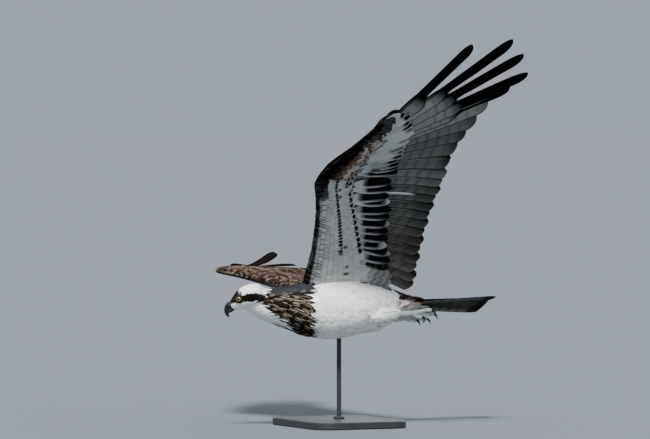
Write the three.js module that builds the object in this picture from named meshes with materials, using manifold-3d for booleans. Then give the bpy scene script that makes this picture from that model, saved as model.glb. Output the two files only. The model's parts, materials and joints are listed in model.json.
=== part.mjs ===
// An osprey in banked flight, life size, held up by a plain display stand.
// Millimetres, +Z up. The bird heads along -Y with its left side towards +X, and is banked so that
// its left wing is the raised one. The origin is the middle of the stand's underside.
// The bird is modelled level, in a frame of its own with the middle of its trunk at the origin.
import * as THREE from "three";
import { mergeVertices } from "three/addons/utils/BufferGeometryUtils.js";
import Module from "manifold-3d";

const wasm = await Module();
wasm.setup();
const { Manifold } = wasm;
const { clamp, degToRad, lerp, smoothstep } = THREE.MathUtils;

// Sizes that every piece shares
const GAP = 0.3; // left between pieces that touch
const VANE = 0.7; // thickness of a feather's vane
const THIN_TIP = { from: 0.97, share: 0.6 }; // where the vane thins, and to what share
const SLAT = 1.3; // step down from one feather of a row to the next one out

// Pose and place
const BANK = 20; // degrees, left wing up
const HEIGHT = 235; // of the trunk's middle above the floor
const TRUNK_SHIFT = { x: 22, y: -8 }; // of the trunk's middle from the stand's
const STAND = {
  length: 250,
  width: 200,
  thickness: 14,
  corner: 40,
  edge: 2,
  rod: 4.5, // radius
  collar: { radius: 11, height: 5, edge: 2 },
};

// Trunk and neck, front to back: place along the body, sideways shift, height of the middle,
// half width, and the reach above and below that middle
const TRUNK = curve([
  [-194, -6, 13, 21, 19, 17],
  [-168, -5, 7, 28, 27, 26],
  [-138, -3, 1, 36, 35, 36],
  [-108, -1, -2, 44, 44, 44],
  [-75, 0, -4, 53, 52, 55],
  [-38, 0, -4, 59, 58, 62],
  [0, 0, -4, 60, 59, 61],
  [38, 0, -3, 55, 53, 54],
  [75, 0, -2, 46, 43, 42],
  [108, 0, 0, 35, 29, 29],
  [140, 0, 3, 25, 14, 17],
  [158, 0, 4, 17, 7, 9],
]);
const TRUNK_ENDS = { front: -194, neck: -92, rump: 112, back: 158 };

// Head, in a frame of its own: level, its origin midway between the eyes, facing -Y
const HEAD = {
  place: [-8, -205, 19],
  turn: -30, // degrees, towards the bird's right
  nod: 22, // degrees, bill down
  untilt: 14, // degrees of the bank that the head takes back
};
// Head, back to front: place, height of the middle, half width, reach above, reach below
const SKULL = curve([
  [46, -4, 22, 17, 24],
  [34, -2, 25, 21, 26],
  [18, -1, 26, 23, 24],
  [4, -1, 24, 22, 21],
  [-8, -2, 20, 17, 17],
  [-17, -3, 14, 12, 13],
  [-23, -4, 9.5, 8.5, 9.5],
].reverse());
const SKULL_ENDS = { back: 46, collar: 15, front: -23 }; // the collar is where the neck starts
const EYE = { side: 18.5, forward: 0, up: 0, radius: 8 };
// The lids' rim round an eye, with shares of the eye's radius, and the bony ridge over it, front
// to back, with its place and size
const LID = { thick: 1.3, radius: 0.86, out: 0.42 };
const BROW = {
  from: { y: 12, side: 21, up: 8.2 },
  to: { y: -17, side: 10.5, up: 5.7 },
  size: 3.4,
  ends: [0.12, 0.9],
  flat: 0.6,
};

// Bill: the culmen's arc from the forehead to the hook, as [forward, up, half width, half depth]
const UPPER_BILL = curve([
  [0, -17, 0, 8.2, 7],
  [0.25, -24, -0.8, 7.2, 6.9],
  [0.5, -30, -4, 5.6, 6],
  [0.72, -34, -9.5, 4, 4.6],
  [0.88, -35, -16, 2.4, 3],
  [1, -33.8, -22, 0.5, 0.7],
]);
const LOWER_BILL = curve([
  [0, -16, -9, 6.4, 3.4],
  [0.4, -22.5, -10, 5.2, 3.2],
  [0.8, -28, -11.6, 3.2, 2.2],
  [1, -30.6, -12.6, 1.2, 0.8],
]);
const CERE = 0.3; // share of the culmen that the cere covers
const NOSTRIL = { share: 0.2, up: 2.2, length: 4.4, height: 1.7, depth: 2.2, slope: -0.5 };

// Wing, laid flat: p runs outwards from the shoulder and q backwards, n stands up off it
const SHOULDER = [42, -88, 36];
const WING_ROOT = -34; // p where the wing starts, inside the trunk
const WING_CORE_END = 412;
const WRIST = { p: 249, q: -44 };
// Each wing's pose along its span: slope above level and slope of the chord, leading edge up, in
// degrees, how far back the hand swings for each millimetre of span, and how far the tips of
// the outer primaries are bent up
const WING_POSE = {
  left: {
    dihedral: curve([
      [0, 32],
      [190, 32],
      [300, 22.5],
      [440, 22.5],
      [640, 31],
    ]),
    incidence: curve([
      [0, 8],
      [250, 4],
      [400, 1],
      [640, 0],
    ]),
    sweep: 0,
    fingerLift: { 9: -2 },
  },
  right: {
    dihedral: curve([
      [0, 27],
      [190, 27],
      [300, 21.5],
      [440, 22],
      [640, 29],
    ]),
    incidence: curve([
      [0, 8],
      [250, 5],
      [400, 3],
      [640, 1.5],
    ]),
    sweep: 0.04,
    fingerLift: { 6: -6, 7: -4, 8: 12, 9: -16 },
  },
};
// Along the span: the leading edge's q, and the chord and thickness of the fleshy front
const WING_CORE = curve([
  [-34, 6, 118, 26],
  [0, 0, 116, 27],
  [55, -3, 112, 24],
  [111, -9, 100, 20],
  [160, -17, 88, 17],
  [210, -31, 80, 15],
  [240, -42, 78, 13],
  [262, -41, 72, 11],
  [290, -30, 62, 9],
  [330, -11, 52, 7],
  [370, 8, 40, 5],
  [412, 27, 8, 2.2],
]);
// Height of the camber on the arm and on the hand, and where along the span it changes
const CAMBER = { arm: 15, hand: 6, chord: 250, from: 200, to: 420 };
const TWIST_AXIS = 0.3; // share of the chord that the incidence turns about
// Primaries, inner to outer: reach of the tip from the wrist, and its bearing from the span
const PRIMARY = {
  reach: [268, 283, 304, 332, 366, 414, 458, 474, 480, 426],
  bearing: [73.8, 66.2, 60.2, 54.9, 49.6, 49, 47.3, 41.4, 35.8, 28],
  firstRoot: 262,
  lastRoot: 374,
  rootShare: 0.7, // of the fleshy front's chord, where they leave it
  outer: 11,
  inner: 33,
  bow: [0.02, 0.012], // sideways, as a share of the length, of the first and the last
  round: 0.86, // share of the length where the tip starts
};
// The outermost primaries, cut in narrow from `notch` on, which is nearer the root on each next
const FINGER = { count: 5, notch: 0.66, nearer: 0.045, narrow: 0.5, round: 0.9 };
const SECONDARY = {
  count: 14,
  firstRoot: 250,
  lastRoot: 42,
  firstTip: 286,
  lastTip: 4,
  tipQ: 219,
  hollow: 5, // of the trailing edge's middle, and of its inner end
  flare: 6, // of its outer end
  stagger: 3, // of every second tip
  rootShare: 0.72,
  outer: 11,
  inner: 27,
  bow: 0.02,
  round: 0.88,
};
// The large coverts, one to every second flight feather: share of the feather that they cover,
// clearance of their tips above and below it, and where in the wing's section they start
const COVERT = {
  armReach: 0.42,
  handReach: 0.34,
  above: 3.4,
  below: 4.4,
  outer: 19.8,
  inner: 24.2,
  bow: 0.02,
  step: 1.2,
  root: 0.7,
  sunk: 0.9,
};
const COVERT_END = { quill: 0.4, round: 0.7 }; // shares where a covert's vane is full, and rounds off
// Thumb feathers at the wrist, each with its height off the wing at the root and at the tip
const ALULA = {
  feathers: [
    { root: [262, -34], tip: [352, 22], half: 9, heights: [4.5, 6] },
    { root: [258, -30], tip: [334, 30], half: 10, heights: [4.5, 4.7] },
  ],
  bow: 0.03,
  round: 0.6,
};

// Tail
const TAIL = { pairs: 6, root: [0, 118, 3], top: 2.5, drop: 1.4, bow: 0.01, round: 0.9 };
// Its innermost and outermost feathers: where they start and end, and their vanes
const TAIL_INNER = { start: 2, end: [6, 205], outer: 13, inner: 13 };
const TAIL_OUTER = { start: 10, end: [46, 197.8], outer: 8, inner: 18 };
// Coverts over and under the tail's base: how many, from where to where, and their half width
const TAIL_COVERT = {
  count: 5,
  from: 20,
  start: 9,
  length: 90,
  shorter: 0.12, // share that the outermost is shorter by
  spread: 25,
  half: 8,
  sunk: 1.5,
  round: 0.25, // how the body's height falls towards its sides
  above: 5.2,
  below: -8,
  step: 1.1,
};

// Legs, trailing under the tail. Points are in the bird's frame, for the left leg, each with a
// radius beside it.
const THIGH = {
  line: [
    [29, 40, -30],
    [27, 74, -29],
    [21, 104, -24],
    [17, 117, -21],
  ],
  radii: [14, 19, 12, 7],
};
const SHANK = {
  line: [
    [17, 112, -21],
    [17, 124, -24],
    [16, 146, -22],
    [16, 153, -22],
  ],
  radii: [6.5, 6.5, 5.2, 7],
};
const TOES = {
  inner: [
    [14, 150, -21],
    [10, 169, -17],
    [8, 185, -13],
  ],
  middle: [
    [16, 152, -22],
    [17, 172, -25],
    [17, 190, -25],
  ],
  outer: [
    [18, 150, -22],
    [24, 167, -20],
    [27, 182, -20],
  ],
  hind: [
    [16, 146, -25],
    [14, 156, -29],
    [13, 165, -29],
  ],
};
const TOE_RADII = [5.2, 4.4, 3.8];
const CLAW = { length: 19, bend: 115, radii: [2.7, 2.16, 1.35, 0.35], sunk: 2, steps: 5 };
const FAR_LEG_LIFT = 1; // of the right leg, which is tucked up closer

// A smooth curve through rows of [place, ...values]
function curve(rows) {
  const last = rows.length - 1;
  const slope = (i, k) => {
    const before = rows[Math.max(i - 1, 0)];
    const after = rows[Math.min(i + 1, last)];
    return (after[k] - before[k]) / (after[0] - before[0]);
  };
  return (x) => {
    let i = 0;
    while (i < last - 1 && x > rows[i + 1][0]) i += 1;
    const [from, to] = [rows[i], rows[i + 1]];
    const width = to[0] - from[0];
    const t = clamp((x - from[0]) / width, 0, 1);
    return from.slice(1).map((value, j) => {
      const k = j + 1;
      const leave = t * (1 - t) * (1 - t) * slope(i, k) * width;
      const arrive = t * t * (t - 1) * slope(i + 1, k) * width;
      return lerp(value, to[k], t * t * (3 - 2 * t)) + leave + arrive;
    });
  };
}

const spaced = (from, to, count) =>
  Array.from({ length: count }, (_, i) => lerp(from, to, i / (count - 1)));
const vec = (x, y, z) => new THREE.Vector3(x, y, z);

// The solid of a triangle list, its faces turned outwards
function solidOf(points, faces) {
  return solidOfGeometry(new THREE.BufferGeometry().setFromPoints(points).setIndex(faces));
}

function solidOfGeometry(geometry) {
  geometry.deleteAttribute("normal");
  geometry.deleteAttribute("uv");
  const merged = mergeVertices(geometry, 1e-4);
  const triVerts = new Uint32Array(merged.index.array);
  const make = () =>
    new Manifold(
      new wasm.Mesh({ numProp: 3, vertProperties: merged.attributes.position.array, triVerts }),
    );
  const made = make();
  if (made.volume() > 0) return made;
  for (let i = 0; i < triVerts.length; i += 3)
    [triVerts[i + 1], triVerts[i + 2]] = [triVerts[i + 2], triVerts[i + 1]];
  return make();
}

// A closed body through rings of equal count. From the point `turnAt` on, a quad is split along
// its other diagonal, so that the two faces of a thin sheet are split alike.
function loft(rings, turnAt = Infinity) {
  const count = rings[0].length;
  const points = rings.flat();
  const faces = [];
  for (let r = 0; r < rings.length - 1; r += 1)
    for (let i = 0; i < count; i += 1) {
      const [a, b] = [r * count + i, r * count + ((i + 1) % count)];
      const [c, d] = [a + count, b + count];
      if (i < turnAt) faces.push(a, b, c, b, d, c);
      else faces.push(a, b, d, a, d, c);
    }
  const last = (rings.length - 1) * count;
  if (turnAt === Infinity) {
    [0, last].forEach((start, end) => {
      const middle = rings[end ? rings.length - 1 : 0]
        .reduce((sum, v) => sum.add(v), vec(0, 0, 0))
        .divideScalar(count);
      points.push(middle);
      for (let i = 0; i < count; i += 1) {
        const [a, b] = [start + i, start + ((i + 1) % count)];
        if (end) faces.push(a, b, points.length - 1);
        else faces.push(b, a, points.length - 1);
      }
    });
  } else {
    for (let i = 0; i < turnAt - 1; i += 1) {
      const [a, b, c, d] = [i, i + 1, count - 2 - i, count - 1 - i];
      faces.push(b, a, d, b, d, c);
      faces.push(last + a, last + b, last + d, last + b, last + c, last + d);
    }
  }
  return solidOf(points, faces);
}

// A ring of points round an axis: `radial(angle)` gives each of them
const ring = (sides, radial) => spaced(0, 2 * Math.PI, sides + 1).slice(0, -1).map(radial);

const joined = (solids) => Manifold.union(solids);
const largest = (solid) => solid.decompose().reduce((a, b) => (a.volume() > b.volume() ? a : b));

// The mesh of a solid
function piece(name, solid, finish) {
  const { vertProperties, triVerts, numProp } = largest(solid.simplify(0.01)).getMesh();
  const geometry = new THREE.BufferGeometry();
  const points = Array.from({ length: vertProperties.length / numProp }, (_, i) => [
    ...vertProperties.subarray(i * numProp, i * numProp + 3),
  ]);
  geometry.setAttribute("position", new THREE.Float32BufferAttribute(points.flat(), 3));
  geometry.setIndex([...triVerts]);
  geometry.computeVertexNormals();
  const mesh = new THREE.Mesh(geometry, finish);
  mesh.name = name;
  return mesh;
}

// Finishes
const finish = (color, roughness, metalness = 0) =>
  new THREE.MeshStandardMaterial({ color, roughness, metalness });
const FINISH = {
  white: finish(0xe9e4d9, 0.9),
  brown: finish(0x4a3a2e, 0.85),
  horn: finish(0x14161c, 0.35),
  cere: finish(0x7d8f9c, 0.5),
  iris: finish(0xe3b21a, 0.1),
  scale: finish(0xb9bfb8, 0.6),
  stand: finish(0x2b2b2d, 0.45),
};

// Trunk: oval rings, `grown` by a skin's thickness
const TRUNK_SIDES = 22;
const TRUNK_RINGS = 19;
function trunk(grown = 0) {
  const { front, back } = TRUNK_ENDS;
  return loft(
    spaced(front, back, TRUNK_RINGS).map((y) => {
      const [shift, middle, half, above, below] = TRUNK(y);
      return ring(TRUNK_SIDES, (angle) => {
        const reach = (Math.sin(angle) > 0 ? above : below) + grown;
        return vec(shift + (half + grown) * Math.cos(angle), y, middle + reach * Math.sin(angle));
      });
    }),
  );
}

// A slab of everything between two places along the body
function between(solid, from, to) {
  return solid.trimByPlane([0, 1, 0], from).trimByPlane([0, -1, 0], -to);
}

// Head
const headTurn = new THREE.Matrix4()
  .makeTranslation(...HEAD.place)
  .multiply(new THREE.Matrix4().makeRotationY(degToRad(HEAD.untilt)))
  .multiply(new THREE.Matrix4().makeRotationZ(degToRad(HEAD.turn)))
  .multiply(new THREE.Matrix4().makeRotationX(degToRad(HEAD.nod)));
const onHead = (x, y, z) => vec(x, y, z).applyMatrix4(headTurn);
const SKULL_SIDES = 18;
function skull(grown = 0) {
  return loft(
    spaced(SKULL_ENDS.back, SKULL_ENDS.front, 12).map((y, i, all) => {
      const [middle, half, above, below] = SKULL(y);
      const beyond = i === 0 ? grown : i === all.length - 1 ? -grown : 0;
      return ring(SKULL_SIDES, (angle) => {
        const reach = (Math.sin(angle) > 0 ? above : below) + grown;
        return onHead((half + grown) * Math.cos(angle), y + beyond, middle + reach * Math.sin(angle));
      });
    }),
  );
}

// An eyeball, `grown` to clear it
function eyeBall(side, grown) {
  const geometry = new THREE.SphereGeometry(EYE.radius + grown, 14, 7);
  geometry.rotateZ(Math.PI / 2).translate(side * EYE.side, EYE.forward, EYE.up);
  return solidOfGeometry(geometry.applyMatrix4(headTurn));
}

// The rim of the lids round one eye
function lids(side) {
  const geometry = new THREE.TorusGeometry(EYE.radius * LID.radius, LID.thick, 5, 14);
  const x = side * (EYE.side + EYE.radius * LID.out);
  geometry.rotateY(Math.PI / 2).translate(x, EYE.forward, EYE.up);
  return solidOfGeometry(geometry.applyMatrix4(headTurn));
}

// The bony ridge over one eye
function brow(side) {
  const { from, to, ends, flat } = BROW;
  const rings = spaced(0, 1, 6).map((t) => {
    const size = BROW.size * Math.sin(Math.PI * lerp(...ends, t));
    const x = side * lerp(from.side, to.side, t * t);
    const z = lerp(from.up, to.up, t);
    return ring(6, (angle) =>
      onHead(x + size * Math.cos(angle), lerp(from.y, to.y, t), z + flat * size * Math.sin(angle)),
    );
  });
  return loft(rings);
}

// A mandible along its own middle line
function mandible(line, sides, steps, grown = 0, from = 0, to = 1) {
  return loft(
    spaced(from, to, steps).map((t) => {
      const [forward, up, half, depth] = line(t);
      const [nextForward, nextUp] = line(Math.min(t + 0.02, 1));
      const [lastForward, lastUp] = line(Math.max(t - 0.02, 0));
      const along = vec(0, nextForward - lastForward, nextUp - lastUp).normalize();
      const beyond = t === from ? -grown : t === to ? grown : 0;
      return ring(sides, (angle) => {
        const [x, z] = [(half + grown) * Math.cos(angle), (depth + grown) * Math.sin(angle)];
        const y = forward - along.z * z + along.y * beyond;
        return onHead(x, y, up + along.y * z + along.z * beyond);
      });
    }),
  );
}

// A nostril's slit in one side of the cere
function nostril(side) {
  const [forward, up, half] = UPPER_BILL(NOSTRIL.share);
  const geometry = new THREE.SphereGeometry(1, 8, 6);
  geometry.scale(NOSTRIL.depth, NOSTRIL.length / 2, NOSTRIL.height / 2).rotateX(NOSTRIL.slope);
  geometry.translate(side * half, forward, up + NOSTRIL.up).applyMatrix4(headTurn);
  return solidOfGeometry(geometry);
}

// Wing surface: the place in the bird's frame of a point of the flat wing, on one side
const SPAN_STEP = 4;
const SPAN_END = 700;
function spanPath({ dihedral }) {
  const path = [];
  let [x, z] = [0, 0];
  for (let p = WING_ROOT; p <= SPAN_END; p += SPAN_STEP) {
    const rise = degToRad(dihedral(Math.max(p, 0))[0]);
    path.push([p, x, z, rise]);
    x += SPAN_STEP * Math.cos(rise);
    z += SPAN_STEP * Math.sin(rise);
  }
  const [, startX, startZ] = path[Math.round(-WING_ROOT / SPAN_STEP)];
  return path.map(([p, px, pz, rise]) => [p, px - startX, pz - startZ, rise]);
}
const SIDES = Object.entries(WING_POSE).map(([name, pose]) => ({
  name,
  sign: name === "left" ? 1 : -1,
  path: spanPath(pose),
  ...pose,
}));
function onWing({ sign, path, incidence, sweep }, p, q, n) {
  const i = clamp(Math.floor((p - WING_ROOT) / SPAN_STEP), 0, path.length - 2);
  const t = (p - path[i][0]) / SPAN_STEP;
  const [x, z, rise] = [1, 2, 3].map((k) => lerp(path[i][k], path[i + 1][k], t));
  const along = (q - WING_CORE(p)[0]) / CAMBER.chord;
  const height = lerp(CAMBER.arm, CAMBER.hand, smoothstep(p, CAMBER.from, CAMBER.to));
  const crown = 4 * height * along * (1 - along);
  const lift = n + crown - (q - TWIST_AXIS * CAMBER.chord) * Math.tan(degToRad(incidence(p)[0]));
  return vec(
    sign * (SHOULDER[0] + x - lift * Math.sin(rise)),
    SHOULDER[1] + q + sweep * Math.max(p - WRIST.p, 0),
    SHOULDER[2] + z + lift * Math.cos(rise),
  );
}

// The fleshy front of the wing with its small coverts: blunt behind, to hold the feathers' roots
const CORE_SECTION = [
  [1, 0.3],
  [0.72, 0.7],
  [0.42, 1],
  [0.18, 0.9],
  [0.05, 0.55],
];
const coreTop = (share) => {
  const row = CORE_SECTION.findIndex(([t]) => t <= share);
  const [to, from] = [CORE_SECTION[Math.max(row, 1)], CORE_SECTION[Math.max(row, 1) - 1]];
  return lerp(from[1], to[1], clamp((from[0] - share) / (from[0] - to[0]), 0, 1));
};
function wingCore(side, from, to, steps) {
  return loft(
    spaced(from, to, steps).map((p) => {
      const [lead, chord, thick] = WING_CORE(p);
      const top = CORE_SECTION.map(([t, h]) => onWing(side, p, lead + t * chord, (h * thick) / 2));
      const under = CORE_SECTION.map(([t, h]) => onWing(side, p, lead + t * chord, (-h * thick) / 2));
      return [...top, onWing(side, p, lead, 0), ...under.reverse()];
    }),
  );
}

// One feather on a surface. `spine(s)` runs from root to tip in the surface's flat sizes,
// `width(s)` gives the vane's reach outwards and inwards, `rise(s)` its height off the surface,
// and `tilt(s)` how far its inner edge dips for each millimetre of width.
function feather(surface, { spine, width, rise, tilt, steps }) {
  const rings = steps.map((s) => {
    const [here, there] = [spine(Math.max(s - 0.01, 0)), spine(Math.min(s + 0.01, 1))];
    const along = new THREE.Vector2(there[0] - here[0], there[1] - here[1]).normalize();
    const middle = spine(s);
    const [outer, inner] = width(s);
    const half = (VANE / 2) * (s > THIN_TIP.from ? THIN_TIP.share : 1);
    const face = (sign) =>
      [-outer, inner].map((reach) =>
        surface(
          middle[0] - along.y * reach,
          middle[1] + along.x * reach,
          rise(s) - tilt(s) * reach + sign * half,
        ),
      );
    return [...face(1), ...face(-1).reverse()];
  });
  return loft(rings, 2);
}

// A spine from root to tip, bowed sideways by a share of its length
function bowed(root, tip, bow) {
  const [dp, dq] = [tip[0] - root[0], tip[1] - root[1]];
  return (s) => {
    const off = 4 * bow * s * (1 - s);
    return [root[0] + s * dp + off * dq, root[1] + s * dq - off * dp];
  };
}

// A vane's outline: grows from the quill, holds its width, and rounds off at the tip
function outline(outer, inner, { quill = 0.3, round = 0.84, notch = 1.1, narrow = 1 } = {}) {
  return (s) => {
    const grow = lerp(0.35, 1, smoothstep(s, 0, quill));
    const end = s > round ? Math.sqrt(Math.max(1 - ((s - round) / (1 - round)) ** 2, 0.03)) : 1;
    const cut = lerp(1, narrow, smoothstep(s, notch - 0.1, notch + 0.02));
    return [outer * grow * end * lerp(1, cut, 0.6), inner * grow * end * cut];
  };
}

const STEPS = {
  primary: [0, 0.18, 0.38, 0.56, 0.7, 0.86, 0.95, 1],
  secondary: [0, 0.35, 0.7, 0.92, 1],
  covert: [0, 0.4, 0.8, 1],
};

// Flight feathers of one wing, inner to outer: root, tip, and pitch to the next
const handPoint = (reach, bearing) => [
  WRIST.p + reach * Math.cos(degToRad(bearing)),
  WRIST.q + reach * Math.sin(degToRad(bearing)),
];
const LAST_PRIMARY = PRIMARY.reach.length - 1;
const rootAt = (p, share) => [p, WING_CORE(p)[0] + share * WING_CORE(p)[1]];
const primaries = PRIMARY.reach.map((reach, i) => ({
  root: rootAt(lerp(PRIMARY.firstRoot, PRIMARY.lastRoot, i / LAST_PRIMARY), PRIMARY.rootShare),
  tip: handPoint(reach, PRIMARY.bearing[i]),
  rank: i,
}));
const trailingEdge = (t) => {
  const { tipQ, hollow, flare } = SECONDARY;
  return tipQ - hollow * (Math.sin(Math.PI * t) + (1 - t) ** 2) + flare * t ** 2;
};
const secondaries = spaced(1, 0, SECONDARY.count).map((t, i) => ({
  root: rootAt(lerp(SECONDARY.firstRoot, SECONDARY.lastRoot, t), SECONDARY.rootShare),
  tip: [lerp(SECONDARY.firstTip, SECONDARY.lastTip, t), trailingEdge(t) + SECONDARY.stagger * (i % 2)],
}));
const apart = (a, b) => Math.hypot(a[0] - b[0], a[1] - b[1]);
const flight = [...secondaries, ...primaries].map((one, i, row) => {
  const [a, b] = i > 0 ? [row[i - 1], one] : [one, row[i + 1]];
  return { ...one, rootPitch: apart(a.root, b.root), tipPitch: apart(a.tip, b.tip) };
});

function flightFeather(surface, one) {
  const { rank, root, tip, lift } = one;
  const isPrimary = rank !== undefined;
  const { outer, inner, round } = isPrimary ? PRIMARY : SECONDARY;
  const finger = isPrimary ? rank - (PRIMARY.reach.length - FINGER.count) : -1;
  const fingered = { ...FINGER, notch: FINGER.notch - FINGER.nearer * finger };
  return feather(surface, {
    spine: bowed(root, tip, isPrimary ? lerp(...PRIMARY.bow, rank / LAST_PRIMARY) : SECONDARY.bow),
    width: outline(outer, inner, finger >= 0 ? fingered : { round }),
    rise: (s) => lift * Math.max(2 * s - 1, 0) ** 2,
    tilt: (s) => SLAT / Math.max(lerp(one.rootPitch, one.tipPitch, s), 5),
    steps: isPrimary ? STEPS.primary : STEPS.secondary,
  });
}

// A covert over one flight feather, above (`up` 1) or below (`up` -1) the wing. Its root is sunk
// in the wing's fleshy front, and from there it settles down to its clearance.
function covert(surface, up, one, { to, clear }) {
  const tip = [0, 1].map((k) => lerp(one.root[k], one.tip[k], to));
  const start = (coreTop(COVERT.root) * WING_CORE(one.root[0])[2]) / 2 - COVERT.sunk;
  return feather(surface, {
    spine: bowed(one.root, tip, COVERT.bow),
    width: outline(COVERT.outer, COVERT.inner, COVERT_END),
    rise: (s) => up * lerp(start, clear, Math.min(1.6 * s, 1)),
    tilt: (s) => COVERT.step / (2 * lerp(one.rootPitch, one.tipPitch, s * to)),
    steps: STEPS.covert,
  });
}

// A wing: its fleshy front, the flight feathers, and a row of coverts over and under them
function wing(side) {
  const surface = (p, q, n) => onWing(side, p, q, n);
  const rows = flight.flatMap((one, i) => {
    const vane = flightFeather(surface, { ...one, lift: side.fingerLift[one.rank] ?? 0 });
    if (i % 2) return [vane];
    const reach = one.rank === undefined ? COVERT.armReach : COVERT.handReach;
    return [
      vane,
      covert(surface, 1, one, { to: reach, clear: COVERT.above }),
      covert(surface, -1, one, { to: reach, clear: COVERT.below }),
    ];
  });
  const thumb = ALULA.feathers.map(({ root, tip, half, heights }) =>
    feather(surface, {
      spine: bowed(root, tip, ALULA.bow),
      width: outline(half, half, { round: ALULA.round }),
      rise: (s) => lerp(...heights, s),
      tilt: () => 0,
      steps: STEPS.covert,
    }),
  );
  return joined([wingCore(side, WING_ROOT, WING_CORE_END, 15), ...rows, ...thumb]);
}

// Tail
function tail() {
  const { pairs, root, top, drop, bow, round } = TAIL;
  const [near, far] = [TAIL_INNER, TAIL_OUTER];
  const parts = [between(trunk(), TRUNK_ENDS.rump + GAP, TRUNK_ENDS.back)];
  [-1, 1].forEach((side) => {
    spaced(0, 1, pairs).forEach((t, k) => {
      const surface = (p, q, n) => vec(root[0] + side * p, root[1] + q, root[2] + n);
      const end = [lerp(near.end[0], far.end[0], t), lerp(near.end[1], far.end[1], t * t)];
      parts.push(
        feather(surface, {
          spine: bowed([lerp(near.start, far.start, t), 0], end, bow),
          width: outline(lerp(near.outer, far.outer, t), lerp(near.inner, far.inner, t), { round }),
          rise: () => top - drop * (k + (side > 0 ? 0 : 0.5)),
          tilt: () => 0,
          steps: STEPS.secondary,
        }),
      );
    });
  });
  [1, -1].forEach((up) => {
    spaced(-1, 1, TAIL_COVERT.count).forEach((t, i) => {
      const { from, start, length, shorter, spread, half, sunk, above, below, step } = TAIL_COVERT;
      const [, , , over, under] = TRUNK(root[1] + from);
      const body = (up > 0 ? over : -under) * (1 - TAIL_COVERT.round * t * t) - up * sunk;
      const end = (up > 0 ? above : below) + up * step * (i % 2);
      parts.push(
        feather((p, q, n) => vec(root[0] + p, root[1] + q, root[2] + n), {
          spine: bowed([start * t, from], [spread * t, length * (1 - shorter * t * t)], 0),
          width: outline(half, half, COVERT_END),
          rise: (s) => lerp(body, end, Math.min(1.5 * s, 1)),
          tilt: () => 0,
          steps: STEPS.covert,
        }),
      );
    });
  });
  return joined(parts);
}

// A round limb through points, with a radius at each. `grown` swells it and lengthens its ends.
function limb(line, radii, { side = 1, steps = 6, sides = 8, grown = 0 } = {}) {
  const lift = side < 0 ? FAR_LEG_LIFT : 0;
  const path = new THREE.CatmullRomCurve3(line.map(([x, y, z]) => vec(side * x, y, z + lift)));
  const size = curve(radii.map((radius, i) => [i / (radii.length - 1), radius]));
  return loft(
    spaced(0, 1, steps).map((t) => {
      const along = path.getTangent(t);
      const across = vec(1, 0, 0).cross(along).normalize();
      const other = along.clone().cross(across);
      const beyond = t === 0 ? -grown : t === 1 ? grown : 0;
      const middle = path.getPoint(t).addScaledVector(along, beyond);
      const radius = size(t)[0] + grown;
      return ring(sides, (angle) =>
        middle
          .clone()
          .addScaledVector(across, radius * Math.cos(angle))
          .addScaledVector(other, radius * Math.sin(angle)),
      );
    }),
  );
}

// A claw: starts at a toe's tip, in line with it, and curls downwards
function claw(line, side) {
  const [before, tip] = line.slice(-2).map(([x, y, z]) => vec(x, y, z));
  const along = tip.clone().sub(before).normalize();
  const down = vec(0, 0, -1).projectOnPlane(along).normalize();
  const turn = degToRad(CLAW.bend);
  const bendRadius = CLAW.length / turn;
  const root = tip.clone().addScaledVector(along, -CLAW.sunk);
  const points = spaced(0, 1, CLAW.steps).map((t) =>
    root
      .clone()
      .addScaledVector(along, bendRadius * Math.sin(t * turn))
      .addScaledVector(down, bendRadius * (1 - Math.cos(t * turn)))
      .toArray(),
  );
  return limb(points, CLAW.radii, { side, steps: CLAW.steps + 1, sides: 7 });
}

// Display stand
function plate() {
  const { length, width, corner, thickness, edge } = STAND;
  const [x, y] = [length / 2 - edge, width / 2 - edge];
  const round = corner - edge;
  const shape = new THREE.Shape();
  shape.moveTo(x, y - round);
  shape.absarc(x - round, y - round, round, 0, Math.PI / 2);
  shape.absarc(round - x, y - round, round, Math.PI / 2, Math.PI);
  shape.absarc(round - x, round - y, round, Math.PI, 1.5 * Math.PI);
  shape.absarc(x - round, round - y, round, 1.5 * Math.PI, 2 * Math.PI);
  const geometry = new THREE.ExtrudeGeometry(shape, {
    depth: thickness - 2 * edge,
    bevelThickness: edge,
    bevelSize: edge,
    bevelSegments: 1,
    curveSegments: 6,
  });
  return solidOfGeometry(geometry.translate(0, 0, edge));
}

function rod(top) {
  const foot = STAND.thickness + GAP;
  const { rod: radius, collar } = STAND;
  const profile = [
    [0, foot],
    [collar.radius, foot],
    [collar.radius, foot + collar.height - collar.edge],
    [collar.radius - collar.edge, foot + collar.height],
    [radius, foot + collar.height],
    [radius, top],
    [0, top],
  ].map(([x, y]) => new THREE.Vector2(x, y));
  const geometry = new THREE.LatheGeometry(profile, 16).rotateX(Math.PI / 2);
  return solidOfGeometry(geometry);
}

// Assembly
const bird = new THREE.Group();
bird.position.set(TRUNK_SHIFT.x, TRUNK_SHIFT.y, HEIGHT);
bird.rotation.y = degToRad(-BANK);
bird.updateMatrixWorld(true);
const add = (name, solid, look) => bird.add(piece(name, solid, look));

const bothSides = [1, -1];
const clearTrunk = trunk(GAP);
const backwards = vec(0, 1, 0).transformDirection(headTurn);
add("torso", between(trunk(), TRUNK_ENDS.neck, TRUNK_ENDS.rump), FINISH.white);
add(
  "neck",
  between(trunk(), TRUNK_ENDS.front, TRUNK_ENDS.neck - GAP)
    .trimByPlane(backwards.toArray(), backwards.dot(onHead(0, SKULL_ENDS.collar, 0)))
    .subtract(skull(GAP)),
  FINISH.white,
);

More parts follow.
